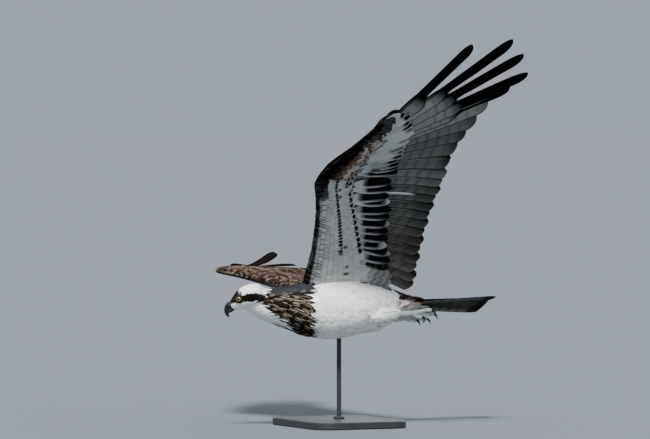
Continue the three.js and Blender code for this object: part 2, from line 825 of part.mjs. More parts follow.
const upper = { sides: 12, steps: 9 };
const lower = { sides: 10, steps: 6 };
const clearUpper = mandible(UPPER_BILL, upper.sides, upper.steps, GAP);
const clearLower = mandible(LOWER_BILL, lower.sides, lower.steps, GAP);
add(
  "head",
  joined([skull(), ...bothSides.flatMap((side) => [lids(side), brow(side)])])
    .subtract(joined(bothSides.map((side) => eyeBall(side, GAP))))
    .subtract(clearUpper)
    .subtract(clearLower),
  FINISH.white,
);
add(
  "cere",
  mandible(UPPER_BILL, upper.sides, 4, 0, 0, CERE).subtract(joined(bothSides.map(nostril))),
  FINISH.cere,
);
add("bill_upper", mandible(UPPER_BILL, upper.sides, 8, 0, CERE + 0.01), FINISH.horn);
add("bill_lower", mandible(LOWER_BILL, lower.sides, lower.steps).subtract(clearUpper), FINISH.horn);
bothSides.forEach((side) => {
  add(`eye_${side > 0 ? "left" : "right"}`, eyeBall(side, 0), FINISH.iris);
});

SIDES.forEach((side) => {
  const { name, sign } = side;
  add(`wing_${name}`, wing(side).subtract(clearTrunk), FINISH.brown);
  const thigh = (grown) => limb(THIGH.line, THIGH.radii, { side: sign, steps: 8, sides: 12, grown });
  add(`thigh_${name}`, thigh(0).subtract(clearTrunk), FINISH.white);
  const shank = limb(SHANK.line, SHANK.radii, { side: sign, steps: 7, sides: 10 });
  const toe = (line, grown) => limb(line, TOE_RADII, { side: sign, steps: 5, sides: 8, grown });
  const toes = Object.values(TOES).map((line) => toe(line, 0));
  add(`foot_${name}`, joined([shank, ...toes]).subtract(thigh(GAP)).subtract(clearTrunk), FINISH.scale);
  const clearToes = joined(Object.values(TOES).map((line) => toe(line, GAP)));
  Object.entries(TOES).forEach(([toeName, line]) => {
    add(`claw_${toeName}_${name}`, claw(line, sign).subtract(clearToes), FINISH.horn);
  });
});
add("tail", tail(), FINISH.brown);

const model = new THREE.Group();
model.add(bird);
model.add(piece("stand_base", plate(), FINISH.stand));
const held = clearTrunk.transform([...bird.matrixWorld.elements]);
model.add(piece("stand_rod", rod(HEIGHT).subtract(held), FINISH.stand));
model.updateMatrixWorld(true);

export default model;
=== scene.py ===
"""An osprey in banked flight, life size, on a plain display stand.

The bird is worked out level, in millimetres, in a frame of its own: +X is its left, it heads
along -Y, and its origin is the middle of the trunk. `to_row` banks it and puts it on the stand.
A wing is worked out flat first, as p outwards from the shoulder, q backwards and n up.
"""

import json
import logging
import math
from collections.abc import Callable
from dataclasses import dataclass, field
from enum import Enum
from functools import cache

import bpy
import numpy as np
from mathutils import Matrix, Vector, kdtree
from mathutils.bvhtree import BVHTree

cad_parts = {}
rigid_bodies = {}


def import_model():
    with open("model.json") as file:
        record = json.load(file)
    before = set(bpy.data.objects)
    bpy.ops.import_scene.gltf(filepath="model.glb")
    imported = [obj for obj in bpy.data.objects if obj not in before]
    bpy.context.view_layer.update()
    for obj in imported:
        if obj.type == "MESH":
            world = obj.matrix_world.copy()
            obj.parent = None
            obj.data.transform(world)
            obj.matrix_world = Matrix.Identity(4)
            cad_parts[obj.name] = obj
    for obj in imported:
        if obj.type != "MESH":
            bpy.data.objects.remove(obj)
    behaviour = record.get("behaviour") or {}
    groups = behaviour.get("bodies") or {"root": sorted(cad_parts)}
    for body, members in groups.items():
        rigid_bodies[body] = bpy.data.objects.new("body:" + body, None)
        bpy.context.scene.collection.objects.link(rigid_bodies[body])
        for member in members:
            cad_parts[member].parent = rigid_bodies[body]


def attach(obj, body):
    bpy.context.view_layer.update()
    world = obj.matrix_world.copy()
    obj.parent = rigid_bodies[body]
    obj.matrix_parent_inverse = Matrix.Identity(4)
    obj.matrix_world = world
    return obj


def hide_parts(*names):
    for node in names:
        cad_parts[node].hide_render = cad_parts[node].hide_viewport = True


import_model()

Array = np.ndarray
LOG = logging.getLogger("osprey")
MM = 0.001
UP = np.array([0.0, 0.0, 1.0])
MIX_A, MIX_B, MIX_OUT = 6, 7, 2  # sockets of a colour Mix node
MARKS = ("dark", "fringe", "rust", "bar", "vary")  # what each vane carries for its finish

# The bird on its stand: banked with the left wing up, the trunk's middle at this place
BANK = math.radians(20)
PLACE = np.array([22.0, -8.0, 235.0])
FAR_LEG_LIFT = 1.0  # how much higher the right leg is held
# The left shoulder, from which the flat wing is laid out
SHOULDER = np.array([42.0, -88.0, 36.0])
CHORD = 250.0  # from the wing's front edge to its tips
CAMBER = (15.0, 6.0)  # how high the wing is arched, at its root and at the hand
TWIST_AXIS = 75.0  # the q about which the wing is twisted
WRIST = 249.0  # the p of the wrist
ROOT_FRONT = -82.0  # the y of the wing's front edge where it meets the trunk
ROOT_TWIST = math.radians(8)
ROOT_RISE = math.radians(30)
# The dark neck ends in a line across the breast, which runs forward at the sides
NECK_END = -79.0
NECK_SLANT = 0.43


class Curve:
    """A smooth curve through rows of [place, ...values], the CAD's own kind."""

    def __init__(self, rows: list[list[float]]) -> None:
        """Keeps the rows and the slope at each.

        Args:
            rows: place and values, in rising order of place.
        """
        table = np.array(rows, float)
        self.at, self.values = table[:, 0], table[:, 1:]
        index = np.arange(len(table))
        before, after = np.maximum(index - 1, 0), np.minimum(index + 1, len(table) - 1)
        width = (self.at[after] - self.at[before])[:, None]
        self.slope = (self.values[after] - self.values[before]) / width

    def __call__(self, place: Array | float) -> Array:
        """Values at some places.

        Args:
            place: one place, or an array of them.

        Returns:
            The values, with one more axis than `place`.
        """
        place = np.asarray(place, float)
        i = np.searchsorted(self.at[1:-1], place, side="left")
        width = self.at[i + 1] - self.at[i]
        t = np.clip((place - self.at[i]) / width, 0, 1)[..., None]
        width = width[..., None]
        level = self.values[i] + (self.values[i + 1] - self.values[i]) * t * t * (3 - 2 * t)
        leave = t * (1 - t) ** 2 * self.slope[i] * width
        return level + leave + t * t * (t - 1) * self.slope[i + 1] * width


def smooth(value: Array, low: float, high: float) -> Array:
    """A soft step from 0 at `low` to 1 at `high`."""
    t = np.clip((np.asarray(value, float) - low) / (high - low), 0, 1)
    return t * t * (3 - 2 * t)


def lerp(a: Array | float, b: Array | float, t: Array | float) -> Array | float:
    """The value a share `t` of the way from `a` to `b`."""
    return a + (b - a) * t


def unit(vectors: Array) -> Array:
    """Vectors of length one."""
    return vectors / np.maximum(np.linalg.norm(vectors, axis=-1, keepdims=True), 1e-9)


def to_row(points: Array) -> Array:
    """Points of the bird's frame in the row frame.

    Args:
        points: places in millimetres.

    Returns:
        Places in metres, banked and lifted.
    """
    x, y, z = points[..., 0], points[..., 1], points[..., 2]
    c, s = math.cos(BANK), math.sin(BANK)
    return (np.stack([x * c - z * s, y, x * s + z * c], -1) + PLACE) * MM


def to_bird(points: Array) -> Array:
    """Points of the row frame in the bird's.

    Args:
        points: places in metres.

    Returns:
        Places in millimetres, level.
    """
    x, y, z = np.moveaxis(points / MM - PLACE, -1, 0)
    c, s = math.cos(BANK), math.sin(BANK)
    return np.stack([x * c + z * s, y, -x * s + z * c], -1)


def turn(axis: str, degrees: float) -> Array:
    """A rotation about one axis.

    Args:
        axis: "X", "Y" or "Z".
        degrees: how far.

    Returns:
        A 3 by 3 matrix.
    """
    a = math.radians(degrees)
    i, j = {"X": (1, 2), "Y": (2, 0), "Z": (0, 1)}[axis]
    matrix = np.eye(3)
    matrix[i, i] = matrix[j, j] = math.cos(a)
    matrix[i, j], matrix[j, i] = -math.sin(a), math.sin(a)
    return matrix


def circle(sides: int) -> Array:
    """Angles of the points round a ring."""
    return np.linspace(0, 2 * math.pi, sides, endpoint=False)


# Sections along y: shift to the left, height of the middle, half width, reach up, reach down
TRUNK = Curve([
    [-194, -6, 13, 21, 19, 17], [-168, -5, 7, 28, 27, 26], [-138, -3, 1, 36, 35, 36],
    [-108, -1, -2, 44, 44, 44], [-75, 0, -4, 53, 52, 55], [-38, 0, -4, 59, 58, 62],
    [0, 0, -4, 60, 59, 61], [38, 0, -3, 55, 53, 54], [75, 0, -2, 46, 43, 42],
    [108, 0, 0, 35, 29, 29], [140, 0, 3, 25, 14, 17], [158, 0, 4, 17, 7, 9],
])
# The same on the head, with no shift
SKULL = Curve([
    [-23, -4, 9.5, 8.5, 9.5], [-17, -3, 14, 12, 13], [-8, -2, 20, 17, 17], [4, -1, 24, 22, 21],
    [18, -1, 26, 23, 24], [34, -2, 25, 21, 26], [46, -4, 22, 17, 24],
])
HEAD_PLACE = np.array([-8.0, -205.0, 19.0])
HEAD_TILT, HEAD_YAW, HEAD_NOD = 14, -30, 22  # degrees
HEAD_TURN = turn("Y", HEAD_TILT) @ turn("Z", HEAD_YAW) @ turn("X", HEAD_NOD)
# Sections along the bill, from 0 to 1: place forward and up on the head, half width, half height
UPPER_BILL = Curve([
    [0, -17, 0, 8.2, 7], [0.25, -24, -0.8, 7.2, 6.9], [0.5, -30, -4, 5.6, 6],
    [0.72, -34, -9.5, 4, 4.6], [0.88, -35, -16, 2.4, 3], [1, -33.8, -22, 0.5, 0.7],
])
LOWER_BILL = Curve([
    [0, -16, -9, 6.4, 3.4], [0.4, -22.5, -10, 5.2, 3.2], [0.8, -28, -11.6, 3.2, 2.2],
    [1, -30.6, -12.6, 1.2, 0.8],
])
# The wing's fleshy front along the span: q of its edge, chord, thickness
WING_CORE = Curve([
    [-34, 6, 118, 26], [0, 0, 116, 27], [55, -3, 112, 24], [111, -9, 100, 20], [160, -17, 88, 17],
    [210, -31, 80, 15], [240, -42, 78, 13], [262, -41, 72, 11], [290, -30, 62, 9],
    [330, -11, 52, 7], [370, 8, 40, 5], [412, 27, 8, 2.2],
])
# Tips of the smaller coverts' last row, and of the greater coverts, along the span
MEDIAN_LINE = Curve([
    [-30, 140], [10, 132], [86, 102], [159, 70], [221, 44], [250, 40], [300, 45], [350, 52],
    [400, 58], [440, 60],
])
GREATER_LINE = Curve([
    [-30, 190], [10, 182], [55, 165], [125, 145], [197, 130], [238, 123], [300, 118], [341, 112],
    [400, 103], [430, 92], [462, 66],
])
# The section of that front: height at shares of its chord
CORE_SHARES = (0, 0.05, 0.18, 0.42, 0.72, 1)
CORE_HEIGHTS = (0.1, 0.55, 0.9, 1, 0.7, 0.3)


def on_head(points: Array) -> Array:
    """Points of the head's frame in the bird's."""
    return points @ HEAD_TURN.T + HEAD_PLACE


def in_head(points: Array) -> Array:
    """Points of the bird's frame in the head's."""
    return (points - HEAD_PLACE) @ HEAD_TURN


# Finishes


def linear(colour: str) -> tuple[float, float, float, float]:
    """Linear RGBA of an sRGB hex colour.

    Args:
        colour: "#rrggbb".

    Returns:
        Red, green, blue and an alpha of one.
    """
    parts = [int(colour[i : i + 2], 16) / 255 for i in (1, 3, 5)]
    red, green, blue = (c / 12.92 if c <= 0.04045 else ((c + 0.055) / 1.055) ** 2.4 for c in parts)
    return red, green, blue, 1.0


def add_node(
    tree: bpy.types.NodeTree,
    kind: str,
    values: dict | None = None,
    links: dict | None = None,
    **settings: object,
) -> bpy.types.Node:
    """Adds one node.

    Args:
        tree: where it goes.
        kind: its type, without "ShaderNode".
        values: a value for each named or numbered input.
        links: what feeds each named or numbered input: a socket, or a node's first output.
        settings: its other properties.

    Returns:
        The node.
    """
    made = tree.nodes.new("ShaderNode" + kind)
    for name, value in settings.items():
        setattr(made, name, value)
    for key, value in (values or {}).items():
        made.inputs[key].default_value = value
    for key, source in (links or {}).items():
        socket = source.outputs[0] if isinstance(source, bpy.types.Node) else source
        tree.links.new(socket, made.inputs[key])
    return made


def blank(name: str) -> tuple[bpy.types.Material, bpy.types.NodeTree]:
    """A new material with an empty tree.

    Args:
        name: the material's name.

    Returns:
        The material and its tree.
    """
    material = bpy.data.materials.new(name)
    material.use_nodes = True
    material.node_tree.nodes.clear()
    return material, material.node_tree


def close(tree: bpy.types.NodeTree, shader: bpy.types.Node) -> None:
    """Ends a material's tree with its output."""
    add_node(tree, "OutputMaterial", links={"Surface": shader})


@dataclass(frozen=True)
class Plumage:
    """Feather keratin in fine barbs: matt, with a soft sheen where light grazes it.

    The eye gets broad vanes in two tones, pale fringes, cross bars and a fine slanting grain.
    """

    name: str
    pale: str
    dark: str
    fringe: str
    rust: str
    bars: str
    bar: float = 13.0  # mm from one cross bar to the next
    barb: float = 1.6  # mm between barbs; the real 0.4 would not show
    relief: float = 0.35  # mm, height of the barbs
    mottle: float = 7.0  # mm, size of the uneven tone
    fleck: float = 9.0  # mm from fleck to fleck of pale wear
    roughness: float = 0.78
    bump: float = 0.3
    speckle: float = 0.0  # how strong the pale wear is
    drift: float = 0.24  # how far the tone wanders
    gloss: float = 0.0  # barbs scatter light, and have no mirror of their own
    barb_slant: float = 0.9  # how far barbs and bars lean towards the tip, beside the shaft
    bar_slant: float = 0.35
    bar_shift: float = 4.0  # how far bars differ from feather to feather, in radians
    dullest: float = 0.85  # how bright the darkest feather is, and how much more the brightest
    brighter: float = 0.3

    def build(self) -> bpy.types.Material:
        """Makes the material from the vanes' marks.

        Returns:
            The material.
        """
        material, tree = blank(self.name)
        marks = {
            mark: add_node(tree, "Attribute", attribute_name=mark).outputs["Fac"] for mark in MARKS
        }
        place = add_node(tree, "UVMap", uv_map="FeatherUV")
        split = add_node(tree, "SeparateXYZ", links={0: place})
        beside = add_node(tree, "Math", links={0: split.outputs[0]}, operation="ABSOLUTE")
        waves = []
        for slant, pitch in ((self.barb_slant, self.barb), (self.bar_slant, self.bar)):
            along = add_node(
                tree, "Math", {1: slant}, {0: beside, 2: split.outputs[1]}, operation="MULTIPLY_ADD"
            )
            turns = 2 * math.pi / (pitch * MM)
            waves.append(add_node(tree, "Math", {1: turns}, {0: along}, operation="MULTIPLY"))
        grain = add_node(tree, "Math", links={0: waves[0]}, operation="SINE")
        phase = add_node(
            tree, "Math", {1: self.bar_shift}, {0: marks["vary"], 2: waves[1]}, operation="MULTIPLY_ADD"
        )
        wave = add_node(tree, "Math", links={0: phase}, operation="SINE")
        band = add_node(tree, "MapRange", {1: 0.1, 2: 0.9}, {0: wave}, interpolation_type="SMOOTHSTEP")
        barred = add_node(tree, "Math", links={0: band, 1: marks["bar"]}, operation="MULTIPLY")
        spot = add_node(tree, "TexCoord").outputs["Object"]
        uneven = add_node(tree, "TexNoise", {"Scale": 1 / (self.mottle * MM), "Detail": 3.0}, {0: spot})
        drift = add_node(
            tree, "Math", {1: self.drift, 2: -self.drift / 2}, {0: uneven}, operation="MULTIPLY_ADD"
        )
        tone = add_node(
            tree, "Math", links={0: marks["dark"], 1: drift}, operation="ADD", use_clamp=True
        )
        flecks = add_node(tree, "TexNoise", {"Scale": 1 / (self.fleck * MM), "Detail": 2.0}, {0: spot})
        worn = add_node(tree, "MapRange", {1: 0.5, 2: 0.66, 4: self.speckle}, {0: flecks})
        colours = {MIX_A: linear(self.pale), MIX_B: linear(self.dark)}
        colour = add_node(tree, "Mix", colours, {0: tone}, data_type="RGBA").outputs[MIX_OUT]
        for share, second in (
            (barred, self.bars),
            (marks["rust"], self.rust),
            (marks["fringe"], self.fringe),
            (worn, self.fringe),
        ):
            colour = add_node(
                tree, "Mix", {MIX_B: linear(second)}, {0: share, MIX_A: colour}, data_type="RGBA"
            ).outputs[MIX_OUT]
        limits = {1: self.brighter, 2: self.dullest}
        level = add_node(tree, "Math", limits, {0: marks["vary"]}, operation="MULTIPLY_ADD")
        tint = add_node(tree, "HueSaturation", links={"Value": level, "Color": colour})
        depth = {"Strength": self.bump, "Distance": self.relief * MM}
        normal = add_node(tree, "Bump", depth, {"Height": grain})
        shader = add_node(
            tree,
            "BsdfPrincipled",
            {"Roughness": self.roughness, "Specular IOR Level": self.gloss},
            {"Base Color": tint, "Normal": normal},
        )
        close(tree, shader)
        return material


@dataclass(frozen=True)
class Solid:
    """A hard or leathery finish with a grain of its own, for bill, claws, scales, eyes and steel."""

    name: str
    colour: str
    second: str
    roughness: float
    grain: float  # mm
    bump: float = 0.2
    coat: float = 0.0
    cells: bool = False  # scales instead of an even grain
    stretch: tuple[float, float, float] = (1, 1, 1)
    relief: float = 0.3  # mm, height of the grain
    seam: float = 0.12  # how wide the furrow between two scales is, for a scale's width

    def build(self) -> bpy.types.Material:
        """Makes the material.

        Returns:
            The material.
        """
        material, tree = blank(self.name)
        spot = add_node(tree, "TexCoord").outputs["Object"]
        scaled = add_node(tree, "Mapping", {"Scale": self.stretch}, {0: spot})
        size = 1 / (self.grain * MM)
        if self.cells:
            edge = add_node(
                tree, "TexVoronoi", {"Scale": size}, {0: scaled}, feature="DISTANCE_TO_EDGE"
            )
            height = add_node(tree, "MapRange", {1: 0.0, 2: self.seam}, {0: edge})
        else:
            height = add_node(tree, "TexNoise", {"Scale": size, "Detail": 4.0}, {0: scaled})
        colours = {MIX_A: linear(self.second), MIX_B: linear(self.colour)}
        colour = add_node(tree, "Mix", colours, {0: height}, data_type="RGBA").outputs[MIX_OUT]
        depth = {"Strength": self.bump, "Distance": self.relief * MM}
        normal = add_node(tree, "Bump", depth, {"Height": height})
        shader = add_node(
            tree,
            "BsdfPrincipled",
            {"Roughness": self.roughness, "IOR": 1.5, "Coat Weight": self.coat, "Coat Roughness": 0.05},
            {"Base Color": colour, "Normal": normal},
        )
        close(tree, shader)
        return material


# White body feathers, soft and open at the ends: bright, with no gloss. Their bar colour, a blue grey,
# is painted shade for the top of the neck
WHITE_DOWN = Plumage(
    "white_body_feathers", "#fffdf9", "#19120f", "#d8c6ad", "#b27a48", "#32353b",
    bar=2000.0, mottle=30, drift=0.06,
)
# Closed brown contour feathers of the back and upper wing: dark, each with a worn buff rim
BROWN_CONTOUR = Plumage(
    "brown_contour_feathers", "#5a4439", "#140d0b", "#c9b1a1", "#785041", "#2c211b",
    mottle=10, speckle=0.25,
)
# Soft coverts under the wing: white, greyed with painted shade, with ink-black blotches
UNDER_COVERT = Plumage(
    "underwing_coverts", "#c4c2be", "#0d0c0f", "#c0beb8", "#86603d", "#48423c",
    mottle=14, drift=0.12,
)
# Stiff flight feathers with closer barbs: a little smoother, brown above and grey below, a grey partly
# deepened with painted shade
FLIGHT = Plumage(
    "flight_feathers", "#b3b0a9", "#0b0a0b", "#f4f1ea", "#3a2b21", "#2f2b28",
    bar=22.0, roughness=0.75, bump=0.4, drift=0.1,
)
# Bill and claws are smooth grown keratin: near black with a soft shine
HORN = Solid("horn_keratin", "#050507", "#0f1014", 0.42, 3.0, 0.12, 0.06, stretch=(1, 0.3, 1))
# The cere is waxy skin: dull blue-grey
CERE = Solid("cere_skin", "#303a45", "#1f262e", 0.55, 1.6, 0.25)
# The eye is wet: yellow iris and black pupil under a clear gloss
IRIS = Solid("iris_yellow", "#ad9034", "#75601c", 0.2, 1.2, 0.05, 1.0)
PUPIL = Solid("pupil_black", "#050506", "#08080a", 0.08, 4.0, 0.0, 1.0)
# The rim of the eye is bare black skin: dull, finely wrinkled
LID = Solid("lid_skin", "#040404", "#0b0a0a", 0.9, 0.9, 0.4)
# Feet are covered in small hard spiny scales: pale grey, rough
FOOT = Solid("foot_scales", "#d5d6d0", "#8c908d", 0.62, 2.1, 0.8, cells=True)
# Powder coated steel of the stand: dark, even, finely pebbled
STEEL_COAT = Solid("powder_coat_black", "#26272a", "#303135", 0.5, 0.9, 0.15)
# Rolled wall paint on the floor: pale, matt, hardly uneven
FLOOR_PAINT = Solid("floor_matt_paint", "#70787f", "#6d757c", 0.9, 60, 0.0)


@cache
def material_of(finish: Plumage | Solid) -> bpy.types.Material:
    """The material of a finish, built once when first asked for."""
    return finish.build()


# Meshes


def link(made: bpy.types.Object) -> bpy.types.Object:
    """Puts an object in the scene."""
    bpy.context.scene.collection.objects.link(made)
    return made


def new_piece(
    mesh: bpy.types.Mesh, finishes: list[Plumage | Solid], slot: str, nodes: tuple[str, ...] = ()
) -> bpy.types.Object:
    """Puts a finished mesh in the scene as a piece of the bird, under the mesh's name.

    Args:
        mesh: its mesh, in metres.
        finishes: one for each material index.
        slot: the record's slot for its finish; not used.
        nodes: the CAD nodes that it stands for.

    Returns:
        The object.
    """
    for finish in finishes:
        mesh.materials.append(material_of(finish))
    made = link(bpy.data.objects.new(mesh.name, mesh))
    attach(made, "root")
    if nodes:
        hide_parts(*nodes)
    LOG.info("%s: %d faces", mesh.name, len(mesh.polygons))
    return made


def mesh_of(name: str, points: Array, sizes: Array, corners: Array) -> bpy.types.Mesh:
    """A smooth-shaded mesh.

    Args:
        name: its name.
        points: (n, 3) places in metres.
        sizes: how many corners each face has.
        corners: the faces' point numbers, one face after another.

    Returns:
        The mesh.
    """
    mesh = bpy.data.meshes.new(name)
    mesh.vertices.add(len(points))
    mesh.vertices.foreach_set("co", points.astype(np.float32).ravel())
    mesh.loops.add(len(corners))
    mesh.loops.foreach_set("vertex_index", corners.astype(np.int32))
    mesh.polygons.add(len(sizes))
    starts = np.concatenate([[0], np.cumsum(sizes)[:-1]])
    mesh.polygons.foreach_set("loop_start", starts.astype(np.int32))
    mesh.polygons.foreach_set("use_smooth", np.ones(len(sizes), bool))
    mesh.update(calc_edges=True)
    mesh.validate()
    return mesh


def loft_faces(rings: int, sides: int) -> tuple[Array, Array]:
    """Faces of a closed tube: quads between its rings, and a face over each end.

    Args:
        rings: how many rings.
        sides: how many points in each.

    Returns:
        Face sizes and corners.
    """
    r, i = np.meshgrid(np.arange(rings - 1), np.arange(sides), indexing="ij")
    a, b = r * sides + i, r * sides + (i + 1) % sides
    quads = np.stack([a, b, b + sides, a + sides], -1).reshape(-1, 4)
    ends = [np.arange(sides)[::-1], np.arange(sides) + (rings - 1) * sides]
    sizes = np.concatenate([np.full(len(quads), 4), [sides, sides]])
    return sizes, np.concatenate([quads.ravel(), *ends])


def merged(lofts: list[Array]) -> tuple[Array, Array, Array]:
    """Several tubes as one set of points and faces.

    Args:
        lofts: (rings, sides, 3) points of each.

    Returns:
        Points, face sizes and corners.
    """
    points, sizes, corners, start = [], [], [], 0
    for rings in lofts:
        count, each = loft_faces(*rings.shape[:2])
        points.append(rings.reshape(-1, 3))
        sizes.append(count)
        corners.append(each + start)
        start += len(points[-1])
    return np.concatenate(points), np.concatenate(sizes), np.concatenate(corners)


def mesh_of_tubes(name: str, lofts: list[Array]) -> bpy.types.Mesh:
    """Tubes of the bird's frame as one mesh of the row frame."""
    points, sizes, corners = merged(lofts)
    return mesh_of(name, to_row(points), sizes, corners)


def fused(name: str, lofts: list[Array], voxel: float, rounds: int) -> bpy.types.Mesh:
    """Melts tubes that run into each other into one smooth surface.

    Args:
        name: the mesh's name.
        lofts: (rings, sides, 3) points of each tube.
        voxel: the grid that the surface is made again on, in millimetres.
        rounds: how often it is smoothed.

    Returns:
        The mesh, in metres.
    """
    rough = link(bpy.data.objects.new("rough", mesh_of_tubes("rough", lofts)))
    remesh = rough.modifiers.new("remesh", "REMESH")
    remesh.mode, remesh.voxel_size = "VOXEL", voxel * MM
    soften = rough.modifiers.new("soften", "SMOOTH")
    soften.factor, soften.iterations = 0.5, rounds
    result = rough.evaluated_get(bpy.context.evaluated_depsgraph_get())
    mesh = bpy.data.meshes.new_from_object(result)
    bpy.data.objects.remove(rough)
    mesh.name = name
    mesh.polygons.foreach_set("use_smooth", np.ones(len(mesh.polygons), bool))
    return mesh


def tube(
    line: Array | list | tuple,
    radii: Array | list | tuple,
    steps: int = 24,
    sides: int = 16,
    flat: float = 1.0,
) -> Array:
    """A round limb through points.

    Args:
        line: places along it, in millimetres.
        radii: its radius at even shares of its length.
        steps: how many rings.
        sides: how many points in each.
        flat: how high a section is for its width.

    Returns:
        (steps, sides, 3) points.
    """
    t = np.linspace(0, 1, steps)
    path = Curve([[i / (len(line) - 1), *point] for i, point in enumerate(line)])
    size = Curve([[i / (len(radii) - 1), radius] for i, radius in enumerate(radii)])(t)
    along = unit(path(np.minimum(t + 0.01, 1)) - path(np.maximum(t - 0.01, 0)))
    side = unit(np.cross(along, UP))
    up = np.cross(side, along)
    angle = circle(sides)[None, :, None]
    ring = side[:, None] * np.cos(angle) + flat * up[:, None] * np.sin(angle)
    return path(t)[:, None] + size[:, None] * ring


# Feathers


def by_feather(values: Array) -> Array:
    """One value for each feather, shaped to spread over its steps, columns and faces."""
    return values[:, None, None, None]


def vane_grid(shares: Array, columns: tuple[float, ...]) -> tuple[Array, Array]:
    """Shares along vanes and places across them, shaped to spread over both and the faces."""
    return np.array(shares)[:, None, None], np.array(columns)[:, None]


def two_faces(upper: Array, lower: Array) -> Array:
    """Values on the feathers' upper faces, then inside the rims of their lower ones.

    Args:
        upper: (feathers, steps, columns, ...) values above.
        lower: the same below.

    Returns:
        (feathers, points, ...) values.
    """
    feathers, _, _, *rest = upper.shape
    both = (upper, lower[:, :, 1:-1])
    return np.concatenate([values.reshape(feathers, -1, *rest) for values in both], 1)


def write_mark(mesh: bpy.types.Mesh, mark: str, values: Array) -> None:
    """Writes one mark, a value for each point."""
    layer = mesh.attributes.new(mark, "FLOAT", "POINT")
    layer.data.foreach_set("value", values.astype(np.float32).ravel())


def write_map(mesh: bpy.types.Mesh, name: str, parts: list[Array]) -> None:
    """Writes one UV map, two values for each corner."""
    flat = np.stack([part.ravel() for part in parts], 1)
    mesh.uv_layers.new(name=name).uv.foreach_set("vector", flat.astype(np.float32).ravel())


def even_strips(count: int) -> Array:
    """Places side by side on the unwrap, for feathers that have a strip each."""
    return np.stack([np.arange(count) / count, np.zeros(count)], 1)


def bowed(root: Array, tip: Array, bow: float, s: Array) -> Array:
    """A shaft on the flat, bent outwards.

    Args:
        root: its root.
        tip: its tip.
        bow: how far it bends, for its length.
        s: shares along it.

    Returns:
        (steps, 2) places.
    """
    way = tip - root
    return root + s[:, None] * way + (4 * bow * s * (1 - s))[:, None] * np.array([way[1], -way[0]])


def beside(flat: Array, tilt: Array | float = 0.0, side: int = 1) -> Array:
    """The way across a flat shaft, outer edge to inner.

    Args:
        flat: (steps, 2) places along the shaft.
        tilt: how far the inner edge lies lower.
        side: -1 to mirror it.

    Returns:
        (steps, 3) vectors.
    """
    along = unit(np.gradient(flat, axis=0))
    return np.stack([-side * along[:, 1], along[:, 0], np.broadcast_to(-tilt, len(along))], 1)


def grown(s: Array) -> Array:
    """How wide a stiff vane is for its full width, from its narrow root."""
    return lerp(0.35, 1, smooth(s, 0, 0.3))


def rounded(s: Array, start: float, least: float = 0.012) -> Array:
    """How wide a vane is for its full width, rounded off past a share of its length."""
    return np.sqrt(np.maximum(1 - (np.maximum(s - start, 0) / (1 - start)) ** 2, least))


def even_reach(width: Array, feathers: int = 1) -> Array:
    """How far vanes reach, alike on both sides of the shaft.

    Args:
        width: (feathers, steps) or (steps,) reaches.
        feathers: how many feathers share them.

    Returns:
        (feathers, steps, 2) reaches.
    """
    grid = np.atleast_2d(width)
    return np.repeat(grid[..., None], 2, 2).repeat(feathers, 0)


